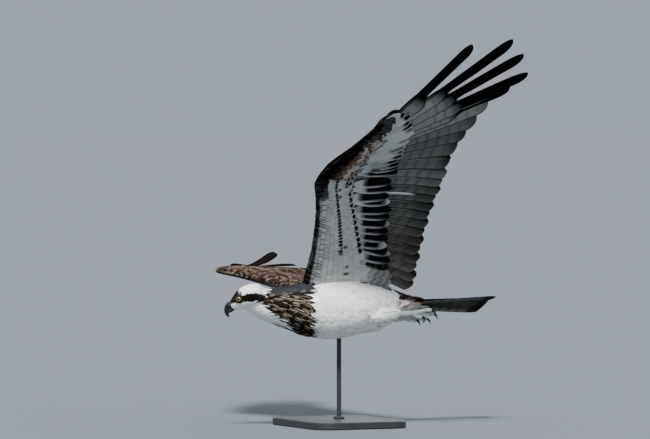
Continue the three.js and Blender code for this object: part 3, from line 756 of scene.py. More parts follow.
@dataclass
class Vanes:
    """A batch of feathers as one closed mesh each: two faces that meet along the vane's rim.

    Attributes:
        middle: (feathers, steps, 3) the shafts, root to tip.
        across: (feathers, steps, 3) the way over the vane, outer edge to inner.
        up: (feathers, steps, 3) the way out of its upper face.
        reach: (feathers, steps, 2) how far it reaches outwards and inwards.
        bake: (feathers, 2) its place on the unwrap of what it grows from.
        marks: each mark as an array that spreads over (feathers, steps, columns, 2 faces).
        columns: places across it, from -1 at the outer edge over 0 at the shaft to 1.
        thick: how far its faces stand apart along the shaft.
        shaft: how far the shaft stands out of each face.
        patch: the size of its patch on that unwrap.
        surface: brings its points into the bird's frame.
    """

    middle: Array
    across: Array
    up: Array
    reach: Array
    bake: Array
    marks: dict[str, Array]
    columns: tuple[float, ...] = (-1, 0, 1)
    thick: float = 0.5
    shaft: float = 0.25
    patch: tuple[float, float] = (0.003, 0.003)
    surface: Callable[[Array], Array] = field(default=lambda points: points)

    def build(self, name: str) -> bpy.types.Mesh:
        """Makes the mesh with its maps and marks.

        Args:
            name: the mesh's name.

        Returns:
            The mesh, in metres.
        """
        c = np.array(self.columns, float)
        feathers, steps = self.middle.shape[:2]
        over = np.where(c < 0, self.reach[..., :1], self.reach[..., 1:]) * c
        dome = self.thick / 2 * (1 - c**2) + self.shaft * (c == 0)
        flat = self.middle[:, :, None] + self.across[:, :, None] * over[..., None]
        lift = self.up[:, :, None] * dome[:, None]
        points = two_faces(flat + lift, flat - lift)
        place = self.surface(points)
        top, low = self.numbers(steps, len(c))
        template = self.faces(top, low)
        turned = np.concatenate([face[::-1] for face in template])
        inverted = self.inside_out(place, top, low)[:, None]
        corners = np.where(inverted, turned, np.concatenate(template))
        first = (np.arange(feathers) * points.shape[1])[:, None]
        sizes = np.tile([len(face) for face in template], feathers)
        mesh = mesh_of(name, to_row(place.reshape(-1, 3)), sizes, (corners + first).ravel())
        self.write_maps(mesh, over, corners)
        for mark in MARKS:
            values = self.marks.get(mark, np.zeros((1, 1, 1, 1)))
            values = np.broadcast_to(values, (feathers, steps, len(c), 2))
            write_mark(mesh, mark, two_faces(values[..., 0], values[..., 1]))
        self.crease(mesh, top, low)
        return mesh

    @staticmethod
    def numbers(steps: int, wide: int) -> tuple[Array, Array]:
        """Numbers one feather's points; its two faces share those of the rim.

        Args:
            steps: how many places along it.
            wide: how many columns across it.

        Returns:
            (steps, wide) point numbers of the upper face and of the lower one.
        """
        top = np.arange(steps * wide).reshape(steps, wide)
        low = top.copy()
        low[:, 1:-1] = steps * wide + np.arange(steps * (wide - 2)).reshape(steps, wide - 2)
        return top, low

    @staticmethod
    def faces(top: Array, low: Array) -> list[Array]:
        """One feather's faces.

        Args:
            top: the point numbers of its upper face.
            low: those of its lower one.

        Returns:
            The corners of each face: those above, as many below, and the two ends.
        """
        above, below = (
            np.stack([grid[:-1, :-1], grid[:-1, 1:], grid[1:, 1:], grid[1:, :-1]], -1).reshape(-1, 4)
            for grid in (top, low)
        )
        root = np.concatenate([top[0, ::-1], low[0, 1:-1]])
        tip = np.concatenate([top[-1], low[-1, 1:-1][::-1]])
        return [*above, *below[:, ::-1], root, tip]

    def write_maps(self, mesh: bpy.types.Mesh, over: Array, corners: Array) -> None:
        """Writes the vane's own map in real size, and its patch on the unwrap.

        Args:
            mesh: the feathers.
            over: (feathers, steps, columns) how far each point is across from the shaft.
            corners: (feathers, corners) the point of each corner.
        """
        c = np.array(self.columns, float)
        lengths = np.linalg.norm(np.diff(self.middle, axis=1), axis=2)
        along = np.pad(np.cumsum(lengths, 1), ((0, 0), (1, 0)))[..., None]

        def on_corners(grid: Array) -> Array:
            """A grid's values at each corner."""
            full = np.broadcast_to(grid, over.shape)
            return np.take_along_axis(two_faces(full, full), corners, 1)

        write_map(mesh, "FeatherUV", [on_corners(over) * MM, on_corners(along) * MM])
        each = (over.shape[1] - 1) * (over.shape[2] - 1) * 4
        under = np.zeros(corners.shape[1])
        under[each : 2 * each] = 0.5
        cross = on_corners((c + 1) / 4) * 0.96 + under + 0.01
        down = on_corners(along / along[:, -1:])
        u, v = self.bake[:, :1] + self.patch[0] * cross, self.bake[:, 1:] + self.patch[1] * down
        write_map(mesh, "OFBake", [u, v])

    def crease(self, mesh: bpy.types.Mesh, top: Array, low: Array) -> None:
        """Keeps the rims sharp, so that each face of a vane is shaded by itself.

        Args:
            mesh: the feathers.
            top: the point numbers of one feather's upper face.
            low: those of its lower face.
        """
        rim = np.zeros(low.max() + 1, bool)
        rim[top[:, [0, -1]]] = rim[top[[0, -1]]] = rim[low[[0, -1]]] = True
        ends = np.empty(len(mesh.edges) * 2, np.int32)
        mesh.edges.foreach_get("vertices", ends)
        sharp = np.tile(rim, len(self.middle))[ends.reshape(-1, 2)].all(1)
        mesh.attributes.new("sharp_edge", "BOOLEAN", "EDGE").data.foreach_set("value", sharp)

    @staticmethod
    def inside_out(place: Array, top: Array, low: Array) -> Array:
        """Which feathers a mirrored surface has turned inside out.

        Args:
            place: the feathers' points where they lie.
            top: the point numbers of the upper face.
            low: those of the lower face.

        Returns:
            True for each such feather.
        """
        row, mid = len(top) // 2, top.shape[1] // 2
        across = place[:, top[row, -1]] - place[:, top[row, 0]]
        along = place[:, top[row + 1, mid]] - place[:, top[row, mid]]
        up = place[:, top[row, mid]] - place[:, low[row, mid]]
        return (np.cross(across, along) * up).sum(1) < 0


# The skin


@dataclass
class WingSurface:
    """Where a point of one flat wing lies on the bird.

    Attributes:
        name: which wing.
        sign: 1 for the left, -1 for the right.
        rises: how steeply it rises along p, in degrees.
        twist: how far it is twisted along p, in degrees.
        sweep: how far the hand is swept back, for each millimetre past the wrist.
        lifts: how far the tips of some flight feathers are lifted.
        step: how finely its path along p is added up.
    """

    name: str
    sign: int
    rises: Curve
    twist: Curve
    sweep: float
    lifts: dict[int, float]
    step: float = 4.0

    def __post_init__(self) -> None:
        """Adds up the span's path."""
        self.span = np.arange(-34, 701, self.step)
        self.rise = np.radians(self.rises(np.maximum(self.span, 0))[:, 0])
        steps = np.stack([np.cos(self.rise), np.sin(self.rise)]) * self.step
        path = np.concatenate([np.zeros((2, 1)), np.cumsum(steps, 1)[:, :-1]], 1)
        shoulder = np.searchsorted(self.span, 0)
        self.path = path - path[:, shoulder : shoulder + 1]

    def __call__(self, flat: Array) -> Array:
        """Places in the bird's frame.

        Args:
            flat: points as p, q, n.

        Returns:
            The same points on the wing.
        """
        p, q, n = flat[..., 0], flat[..., 1], flat[..., 2]
        rise, x, z = (np.interp(p, self.span, row) for row in (self.rise, *self.path))
        along = (q - WING_CORE(p)[..., 0]) / CHORD
        arch = 4 * lerp(*CAMBER, smooth(p, 200, 420)) * along * (1 - along)
        lift = n + arch - (q - TWIST_AXIS) * np.tan(np.radians(self.twist(p)[..., 0]))
        x = self.sign * (SHOULDER[0] + x - lift * np.sin(rise))
        y = SHOULDER[1] + q + self.sweep * np.maximum(p - WRIST, 0)
        return np.stack([x, y, SHOULDER[2] + z + lift * np.cos(rise)], -1)


WINGS = [
    WingSurface(
        "left", 1, Curve([[0, 32], [190, 32], [300, 22.5], [440, 22.5], [640, 31]]),
        Curve([[0, 8], [250, 4], [400, 1], [640, 0]]), 0.0, {9: -2},
    ),
    WingSurface(
        "right", -1, Curve([[0, 27], [190, 27], [300, 21.5], [440, 22], [640, 29]]),
        Curve([[0, 8], [250, 5], [400, 3], [640, 1.5]]), 0.04, {6: -6, 7: -4, 8: 12, 9: -16},
    ),
]


def core_height(p: Array, q: Array, least: float) -> Array:
    """How far the fleshy front of the wing stands off its middle surface.

    Args:
        p: places along the span.
        q: places behind the shoulder.
        least: the height kept behind it.

    Returns:
        Heights in millimetres.
    """
    lead, chord, thick = np.moveaxis(WING_CORE(p), -1, 0)
    share = (q - lead) / chord
    shape = np.interp(share, CORE_SHARES, CORE_HEIGHTS)
    return np.maximum(shape * thick / 2, least * smooth(share, 0.0, 0.5))


@dataclass
class Skin:
    """The bird's skin, in one surface with no seam, a coat's depth inside its outline."""

    depth: float = 4.0
    head_depth: float = 1.6
    wing_depth: float = 2.0
    voxel: float = 2.6
    rounds: int = 8
    nape: tuple = ((-7, -188, 20), (-6, -172, 14), (-4, -148, 6), (-2, -120, 1))
    nape_radii: tuple = (21, 26, 32, 38)
    thigh: tuple = ((29, 40, -30), (27, 74, -29), (21, 104, -24), (17, 117, -21))
    thigh_radii: tuple = (11, 15, 9.5, 5.5)

    @staticmethod
    def rings(y: Array, section: Array, less: Array | float, sides: int) -> Array:
        """Rings of a trunk or skull.

        Args:
            y: where each ring is.
            section: its shift, middle, half width and reaches up and down.
            less: how far the skin lies inside them.
            sides: how many points in each ring.

        Returns:
            (rings, sides, 3) points.
        """
        shift, middle, half, above, below = np.moveaxis(section, -1, 0)[..., None]
        angle = circle(sides)[None]
        reach = np.where(np.sin(angle) > 0, above, below) - less
        x = shift + (half - less) * np.cos(angle)
        y = np.broadcast_to(y[:, None], x.shape)
        return np.stack([x, y, middle + reach * np.sin(angle)], -1)

    def trunk(self) -> Array:
        """Rings of the trunk and neck, whose coat thins out at both ends.

        Returns:
            (rings, sides, 3) points.
        """
        y = np.linspace(-190, 156, 60)
        less = self.depth * lerp(0.5, 1, smooth(y, -190, -100)) * lerp(1, 0.5, smooth(y, 60, 150))
        return self.rings(y, TRUNK(y), less[:, None], 64)

    def skull(self) -> Array:
        """Rings of the head.

        Returns:
            (rings, sides, 3) points.
        """
        y = np.linspace(-21.5, 44, 34)
        section = np.pad(SKULL(y), ((0, 0), (1, 0)))
        return on_head(self.rings(y, section, self.head_depth, 48))

    def wing(self, surface: WingSurface) -> Array:
        """Rings of one wing's fleshy front.

        Args:
            surface: the wing.

        Returns:
            (rings, sides, 3) points.
        """
        p = np.linspace(-34, 408, 90)[:, None]
        lead, chord, thick = np.moveaxis(WING_CORE(p[:, 0]), -1, 0)[..., None]
        share = np.array([1, 0.86, 0.72, 0.57, 0.42, 0.3, 0.18, 0.1, 0.05])[None]
        half = np.maximum(thick / 2 - self.wing_depth, 0.9)
        height = half * np.interp(share, CORE_SHARES, CORE_HEIGHTS)
        q = lead + 1.5 + share * (chord - 3)
        over = np.stack([p + 0 * q, q, height], -1)
        under = np.stack([p + 0 * q, q, -height], -1)[:, ::-1]
        front = np.stack([p, lead + 1.5, 0 * lead], -1)
        return surface(np.concatenate([over, front, under], 1))

    def build(self) -> bpy.types.Object:
        """Joins and smooths the flesh.

        Returns:
            The skin's object.
        """
        lofts = [self.trunk(), self.skull(), tube(self.nape, self.nape_radii, 20, 32)]
        lofts += [self.wing(surface) for surface in WINGS]
        for side in (1, -1):
            line = [[side * x, y, z + FAR_LEG_LIFT * (side < 0)] for x, y, z in self.thigh]
            lofts.append(tube(line, self.thigh_radii, 30, 24))
        mesh = fused("skin", lofts, self.voxel, self.rounds)
        nodes = ("torso", "neck", "head", "thigh_left", "thigh_right")
        return new_piece(mesh, [WHITE_DOWN], "white_feathers", nodes)


# The body's coat


def wing_level(points: Array) -> Array:
    """Height of the wings' middle surface, carried on over the trunk.

    Args:
        points: places in the bird's frame.

    Returns:
        The height at each.
    """
    along = (points[:, 1] - ROOT_FRONT) / CHORD
    behind = points[:, 1] - (SHOULDER[1] + TWIST_AXIS)
    root = SHOULDER[2] - behind * math.tan(ROOT_TWIST) + 4 * CAMBER[0] * along * (1 - along)
    return root + (np.abs(points[:, 0]) - SHOULDER[0]) * math.tan(ROOT_RISE)


def trunk_place(points: Array) -> tuple[Array, Array]:
    """Where places lie in the trunk's section, from 0 at its middle to 1 at its outline.

    Args:
        points: places in the bird's frame.

    Returns:
        How far sideways and how far up each is.
    """
    shift, middle, half, above, below = np.moveaxis(TRUNK(points[:, 1]), -1, 0)
    z = points[:, 2] - middle
    return (points[:, 0] - shift) / half, z / np.where(z > 0, above, below)


def eye_stripe(points: Array, jitter: Array) -> tuple[Array, Array]:
    """The head's dark stripe, from the bill through the eye to the nape.

    Args:
        points: places in the bird's frame.
        jitter: an even draw from 0 to 1 for each.

    Returns:
        How dark each place is, and how far it is on the head.
    """
    head = in_head(points)
    nod = math.radians(HEAD_NOD)
    u = head[:, 1] * math.cos(nod) - head[:, 2] * math.sin(nod)
    w = head[:, 1] * math.sin(nod) + head[:, 2] * math.cos(nod) + 1.6 * (jitter - 0.5)
    low = np.interp(u, [-20, 0, 20, 47], [-8, -6.5, -7, -8.5])
    high = np.interp(u, [-8, -1, 5, 22, 42], [30, 13, 7.5, 8.7, 8.7])
    stripe = smooth(w - low, -0.8, 0.8) * (1 - smooth(w - high, -0.8, 0.8))
    return stripe, 1 - smooth(u - 0.3 * (w - 8), 42, 46)


def body_marks(points: Array, jitter: Array) -> dict[str, Array]:
    """The coat's markings on trunk, neck and head.

    Args:
        points: places in the bird's frame.
        jitter: an even draw from 0 to 1 for each.

    Returns:
        How dark, mottled and rusty each place is, and how much painted shade lies on it at the top of
        the neck.
    """
    y = points[:, 1]
    height = trunk_place(points)[1]
    rough = (jitter - 0.5) * 0.22
    # The neck is dark above an edge that sinks towards the breast, the back above the wings' level
    bottom = np.interp(y, [-200, -186, -174, -158, -136, -108], [0.2, -0.1, -0.36, -0.74, -0.9, -1.1])
    slant = NECK_SLANT * np.abs(points[:, 0]) * (1 - smooth(height, 0.3, 0.6))
    behind = smooth(y - (NECK_END - slant + 7 * (jitter - 0.5)), -3, 3)
    neck = smooth(height + rough - bottom, -0.06, 0.06) * (1 - behind)
    back = smooth(points[:, 2] - wing_level(points), 2, 6) * behind * smooth(height, 0.2, 0.4)
    rump = smooth(y, 92, 108) * smooth(height + rough, 0.1, 0.3)
    stripe, on_skull = eye_stripe(points, jitter)
    dark = lerp(np.maximum.reduce([neck, back, rump]), stripe, on_skull)
    # A few rusty feathers on the white, and a stain round the vent
    rust = 0.8 * (jitter > 0.987) * (dark < 0.3) * smooth(y, -60, -40)
    rust = rust + 0.55 * (jitter > 0.5) * smooth(y, 92, 104) * smooth(height, -0.3, 0.1)
    mottle = neck * (1 - smooth(height, 0.5, 0.72)) * (1 - on_skull)
    # Painted shade: the top of the dark neck takes a blue grey colour
    painted_hindneck_shade = neck * smooth(height, 0.4, 0.62) * (1 - on_skull)
    return {"dark": dark, "mottle": mottle, "rust": rust, "painted_hindneck_shade": painted_hindneck_shade}


class Region(Enum):
    """Where a feather grows."""

    NONE = 0
    FACE = 1
    NECK = 2
    BREAST = 3
    BACK = 4
    THIGH = 5


@dataclass(frozen=True)
class Patch:
    """One region of the body's coat: how its feathers are spaced, sized and laid.

    Attributes:
        name: its piece's name.
        slot: the record's slot for its finish.
        finish: its finish.
        spacing: the least distance from root to root.
        length: a feather's length.
        width: half its width.
        lift: how far its tip stands off the skin.
        edge: how strong the rims are.
        even: how alike in tone the feathers are.
        grow: two places along the bird, or along the head for the face, and the size at each.
    """

    name: str
    slot: str
    finish: Plumage
    spacing: float
    length: float
    width: float
    lift: float
    edge: float = 0.0
    even: float = 0.0
    grow: tuple[float, float, float, float] = (0, 1, 1, 1)


PATCHES = {
    Region.FACE: Patch(
        "coat_head", "white_feathers", WHITE_DOWN, 2.1, 6.5, 1.5, 0.8, 0.0, 0.3, (-20, 30, 0.42, 1.25)
    ),
    Region.NECK: Patch(
        "coat_neck", "white_feathers", WHITE_DOWN, 3.6, 23, 2.3, 2.2, 0.85, 0.0, (-190, -110, 0.55, 1.15)
    ),
    Region.BREAST: Patch(
        "coat_breast", "white_feathers", WHITE_DOWN, 5.0, 27, 6.0, 1.6, 0.5, 0.2, (70, 140, 1.0, 0.75)
    ),
    Region.BACK: Patch("coat_back", "brown_feathers", BROWN_CONTOUR, 7.0, 28, 7.4, 3.6, 0.45),
    Region.THIGH: Patch("coat_thighs", "white_feathers", WHITE_DOWN, 3.6, 11, 3.0, 2.2, 0.5),
}


@dataclass
class Roots:
    """Where feathers grow: places on the skin, its normals there and an even draw for each."""

    place: Array
    normal: Array
    jitter: Array


@dataclass
class BodyCoat:
    """The small feathers of head, neck and trunk, rooted in the skin."""

    skin: bpy.types.Object
    seed: int = 7
    tries: int = 110000  # places drawn, before those too near another are dropped
    eye_clear: float = 8.6  # mm round the eye with no feathers
    cere_back: float = -18.5  # the head's y where the cere starts
    tail_root: float = 150.0  # the y where the tail's own feathers start
    rimmed: float = 0.38  # share of the dark neck's feathers with a pale rim
    soiled: float = 0.6  # strength of the stain on the belly's rims
    painted_belly_shade: float = 0.3  # and of the painted shade on the rims of the lowest ones
    loose: float = 1.9  # how much more the belly's feathers stand off than the breast's
    shares: tuple[float, ...] = (0, 0.3, 0.6, 0.82, 0.95, 1.0)
    columns: tuple[float, ...] = (-1, -0.45, 0, 0.45, 1)

    def __post_init__(self) -> None:
        """Reads the skin's mesh."""
        mesh = self.skin.data
        mesh.calc_loop_triangles()
        corners = np.empty(len(mesh.loop_triangles) * 3, np.int32)
        mesh.loop_triangles.foreach_get("vertices", corners)
        points = np.empty(len(mesh.vertices) * 3, np.float32)
        mesh.vertices.foreach_get("co", points)
        self.points = to_bird(points.reshape(-1, 3).astype(float))
        self.triangles = corners.reshape(-1, 3)
        self.tree = BVHTree.FromPolygons(self.points.tolist(), self.triangles.tolist())
        self.draw = np.random.default_rng(self.seed)

    def candidates(self) -> tuple[Array, Array]:
        """Even random places on the skin.

        Returns:
            Places and normals, in the bird's frame.
        """
        a, b, c = (self.points[self.triangles[:, k]] for k in range(3))
        normal = np.cross(b - a, c - a)
        area = np.linalg.norm(normal, axis=1)
        picked = self.draw.choice(len(area), self.tries, p=area / area.sum())
        u, v = self.draw.random((2, self.tries, 1))
        fold = u + v > 1
        u, v = np.where(fold, 1 - u, u), np.where(fold, 1 - v, v)
        place = a[picked] + u * (b - a)[picked] + v * (c - a)[picked]
        return place, unit(normal[picked])

    def regions(self, place: Array) -> Array:
        """Which region each place is in.

        Args:
            place: places in the bird's frame.

        Returns:
            Their regions' numbers.
        """
        across, height = trunk_place(place)
        radius = np.hypot(across, height)
        side, y = np.abs(place[:, 0]), place[:, 1]
        over = (place[:, 2] > wing_level(place) + 3) | (y > 98) & (height > 0.2)
        head = in_head(place)
        face = (head[:, 1] < 34) & (y < -150)
        eye = (np.abs(head[:, 0]) > 12) & (np.hypot(head[:, 1], head[:, 2]) < self.eye_clear)
        region = np.full(len(place), Region.BREAST.value)
        # Each line holds over those before it
        for inside, kind in (
            (over & (height > 0.2) & (y > -90), Region.BACK),
            (y < NECK_END - NECK_SLANT * side, Region.NECK),
            ((radius > 1.06) & ((y > -120) | (side > 70)), Region.NONE),
            ((side > 6) & (place[:, 2] < -10) & (y > 45) & (radius > 0.99), Region.THIGH),
            (face, Region.FACE),
            (face & (eye | (head[:, 1] < self.cere_back)), Region.NONE),
            (y > self.tail_root, Region.NONE),
        ):
            region[inside] = kind.value
        return region

    def thinned(self, place: Array, spacing: Array, order: Array) -> Array:
        """Numbers of places that keep their spacing from each other.

        Args:
            place: candidate places.
            spacing: the least distance at each.
            order: which comes first.

        Returns:
            The kept places' numbers.
        """
        tree = kdtree.KDTree(len(place))
        for i, point in enumerate(place):
            tree.insert(point, i)
        tree.balance()
        free = np.ones(len(place), bool)
        kept = []
        for i in order:
            if free[i]:
                kept.append(i)
                for _, j, _ in tree.find_range(place[i], spacing[i]):
                    free[j] = False
        return np.array(kept)

    def build(self) -> None:
        """Lays the coat, one piece for each region, and paints the skin alike."""
        place, normal = self.candidates()
        region = self.regions(place)
        grows = region != Region.NONE.value
        place, normal, region = place[grows], normal[grows], region[grows]
        spacing = np.zeros(len(place))
        for kind, patch in PATCHES.items():
            spacing[region == kind.value] = patch.spacing
        # The face's feathers stand closest round the eye
        from_eye = np.hypot(*in_head(place)[:, 1:].T)
        closer = lerp(0.75, 1.25, smooth(from_eye, 8, 34))
        spacing *= np.where(region == Region.FACE.value, closer, 1)
        kept = self.thinned(place, spacing, self.draw.permutation(len(place)))
        place, normal, region = place[kept], normal[kept], region[kept]
        jitter = self.draw.random(len(place))
        for kind, patch in PATCHES.items():
            chosen = region == kind.value
            self.lay(kind, patch, Roots(place[chosen], normal[chosen], jitter[chosen]))
        self.paint_skin()

    def directions(self, roots: Roots) -> Array:
        """Which way feathers lie along the skin: backwards, and down the sides of the neck.

        Args:
            roots: where they grow.

        Returns:
            (feathers, 3) unit vectors.
        """
        y = roots.place[:, 1]
        on_skull = (1 - smooth(in_head(roots.place)[:, 1], 18, 60))[:, None]
        back = np.tile([0.0, 1.0, 0.0], (len(y), 1))
        lie = lerp(back, HEAD_TURN[:, 1], on_skull) + self.draw.normal(0, 0.1, (len(y), 3))
        sink = smooth(y, -192, -170) * (1 - smooth(y, -95, -70)) * 0.45
        lie = lie - sink[:, None] * UP
        return unit(lie - (lie * roots.normal).sum(1, keepdims=True) * roots.normal)

    def along_skin(self, place: Array, lie: Array, length: Array) -> tuple[Array, Array]:
        """The skin under each feather, as a curve through three of its places.

        Args:
            place: the roots.
            lie: which way each feather lies.
            length: how long it is.

        Returns:
            (feathers, steps, 3) places and normals.
        """
        found = []
        for share in (0.0, 0.5, 1.0):
            target = place + lie * (length * share)[:, None]
            hits = [self.tree.find_nearest(Vector(point)) for point in target]
            found.append([np.array([hit[k] for hit in hits])[:, None] for k in (0, 1)])
        s = np.array(self.shares)[:, None]
        weights = ((1 - s) * (1 - 2 * s), 4 * s * (1 - s), s * (2 * s - 1))
        surface, normal = (sum(w * hit[k] for w, hit in zip(weights, found)) for k in (0, 1))
        return surface, unit(normal)

    def lay(self, kind: Region, patch: Patch, roots: Roots) -> None:
        """Lays one region's feathers.

        Args:
            kind: the region.
            patch: its feathers' sizes.
            roots: where they grow.
        """
        place, s = roots.place, np.array(self.shares)
        lie = self.directions(roots)
        start, end, first, last = patch.grow
        ahead = in_head(place)[:, 1] if kind is Region.FACE else place[:, 1]
        size = lerp(0.85, 1.15, self.draw.random(len(place)))
        size = size * lerp(first, last, smooth(ahead, start, end))
        surface, up = self.along_skin(place, lie, patch.length * size)
        ruffle = patch.lift * size * lerp(0.6, 1.4, self.draw.random(len(place)))
        if kind is Region.BREAST:
            ruffle *= lerp(1, self.loose, smooth(place[:, 1], -20, 60))
        rise = -0.5 + ruffle[:, None] * np.sin(s * 1.9)
        middle = surface + up * rise[..., None]
        across = unit(np.cross(unit(np.gradient(middle, axis=1)), up))
        shape = np.interp(s, self.shares, [0.3, 0.8, 1, 0.86, 0.5, 0.15])
        reach = even_reach((patch.width * size)[:, None] * shape)
        around = np.arctan2(place[:, 2], place[:, 0]) / (2 * math.pi) + 0.5
        bake = np.stack([around, (place[:, 1] + 240) / 420], 1) * 0.98
        marks = self.markings(kind, patch, roots)
        made = Vanes(middle, across, up, reach, bake, marks, columns=self.columns, thick=0.35)
        new_piece(made.build(patch.name), [patch.finish], patch.slot)

    def markings(self, kind: Region, patch: Patch, roots: Roots) -> dict[str, Array]:
        """The marks of one region's feathers.

        Args:
            kind: the region.
            patch: its feathers' sizes.
            roots: where they grow.

        Returns:
            Their marks.
        """
        s, c = vane_grid(self.shares, self.columns)
        count = len(roots.place)
        marks = {name: by_feather(part) for name, part in body_marks(roots.place, roots.jitter).items()}
        jitter = by_feather(roots.jitter)
        if kind is Region.NECK:
            rim = np.abs(c) ** 2.5 * smooth(s, 0.3, 0.6) * (1 - 0.5 * (c > 0))
        else:
            rim = np.abs(c) ** 2 * smooth(s, 0.25, 0.5) + smooth(s, 0.84, 1)
        rim = np.clip(rim, 0, 1)
        rimmed = marks["mottle"] * by_feather(self.draw.random(count) < self.rimmed)
        soiled = self.soiled * jitter**2 * (kind in (Region.BREAST, Region.THIGH))
        plain = 0.7 if kind is Region.BACK else 0.06
        strength = np.where(marks["dark"] > 0.5, lerp(plain, 1, rimmed), soiled)
        tone = np.maximum(marks["dark"], 0.75) if kind is Region.BACK else marks["dark"]
        # Painted shade: the lowest breast feathers darken at their rims, more so towards the bottom
        low = by_feather(smooth(-roots.place[:, 2], -10, 35) * (kind is Region.BREAST))
        spread = lerp(patch.even, 1 - 0.4 * patch.even, by_feather(self.draw.random(count)))
        return {
            "dark": tone + self.painted_belly_shade * rim * (low * jitter**2),
            "fringe": patch.edge * rim * strength,
            # The bar mark and a lower level paint shade on the top of the neck
            "bar": marks["painted_hindneck_shade"],
            "rust": marks["rust"] * smooth(s, 0.45, 0.75),
            "vary": lerp(spread, 0.4, marks["painted_hindneck_shade"]),
        }

    def paint_skin(self) -> None:
        """Gives the skin the coat's own markings, and the wings' on its arms."""
        mesh = self.skin.data
        normal = np.empty(len(self.points) * 3, np.float32)
        mesh.vertices.foreach_get("normal", normal)
        up = normal.reshape(-1, 3) @ np.array([-math.sin(BANK), 0, math.cos(BANK)])
        out = np.abs(self.points[:, 0])
        arm, wrist = smooth(out, 58, 64), smooth(out, 205, 225)
        body = body_marks(self.points, np.full(len(self.points), 0.5))["dark"]
        dark = lerp(body, np.maximum(smooth(up, -0.8, -0.6), wrist) * 0.95, arm)
        write_mark(mesh, "dark", dark)
        write_mark(mesh, "vary", np.full(len(dark), 0.4))


# Wings


class Face(Enum):
    """The two faces of a wing; the value is the way along n."""

    OVER = 1
    UNDER = -1


@dataclass
class Feather:
    """One flight feather on the flat wing."""

    root: Array
    tip: Array
    rank: int  # 0 to 9 for primaries, from -14 for the innermost secondary
    pitch: tuple[float, float] = (16, 20)  # mm to the feather before it, at root and tip

    @property
    def finger(self) -> int:
        """Its number among the fingers, from 0, or less than 0."""
        return self.rank - 5


FLIGHT_SHARES = np.concatenate([np.linspace(0, 0.82, 30), np.linspace(0.84, 1, 14)])
SECONDARIES = 14
# The primaries' tips: how far from the wrist, and at how many degrees from straight outwards
PRIMARY_REACH = (268, 283, 304, 332, 366, 414, 458, 474, 480, 426)
PRIMARY_BEARING = (73.8, 66.2, 60.2, 54.9, 49.6, 49, 47.3, 41.4, 35.8, 28)


def flight_feathers() -> list[Feather]:
    """The wing's flight feathers, inner to outer.

    Returns:
        14 secondaries and 10 primaries.
    """

    def rooted(p: float, share: float) -> Array:
        """A place at a share of the fleshy front's chord."""
        return np.array([p, WING_CORE(p)[0] + share * WING_CORE(p)[1]])

    row = []
    for i in range(SECONDARIES):
        t = 1 - i / (SECONDARIES - 1)
        bulge = 5 * math.sin(math.pi * t) + 5 * (1 - t) ** 2
        tip = np.array([lerp(286, 4, t), 219 - bulge + 6 * t**2 + 3 * (i % 2)])
        row.append(Feather(rooted(lerp(250, 42, t), 0.72), tip, i - SECONDARIES))
    for i, (reach, bearing) in enumerate(zip(PRIMARY_REACH, np.radians(PRIMARY_BEARING))):
        tip = np.array([WRIST + reach * math.cos(bearing), -44 + reach * math.sin(bearing)])
        row.append(Feather(rooted(lerp(262, 374, i / 9), 0.7), tip, i))
    for i, one in enumerate(row):
        a, b = (row[i - 1], one) if i else (one, row[1])
        one.pitch = (float(np.linalg.norm(a.root - b.root)), float(np.linalg.norm(a.tip - b.tip)))
    return row


FLIGHT_ROW = flight_feathers()


def lie_on_wing(points: Array) -> Array:
    """Which way a covert points at a place of the flat wing: as the flight feathers near it do.

    Args:
        points: (n, 2) places p, q.

    Returns:
        Unit vectors in p, q.
    """
    roots = np.array([one.root for one in FLIGHT_ROW])
    ways = np.array([one.tip - one.root for one in FLIGHT_ROW])
    t = np.clip(((points[:, None] - roots) * ways).sum(2) / (ways**2).sum(1), 0, 1)
    far = ((points[:, None] - roots - t[..., None] * ways) ** 2).sum(2)
    return unit((unit(ways)[None] / (far[..., None] + 60) ** 1.5).sum(1))


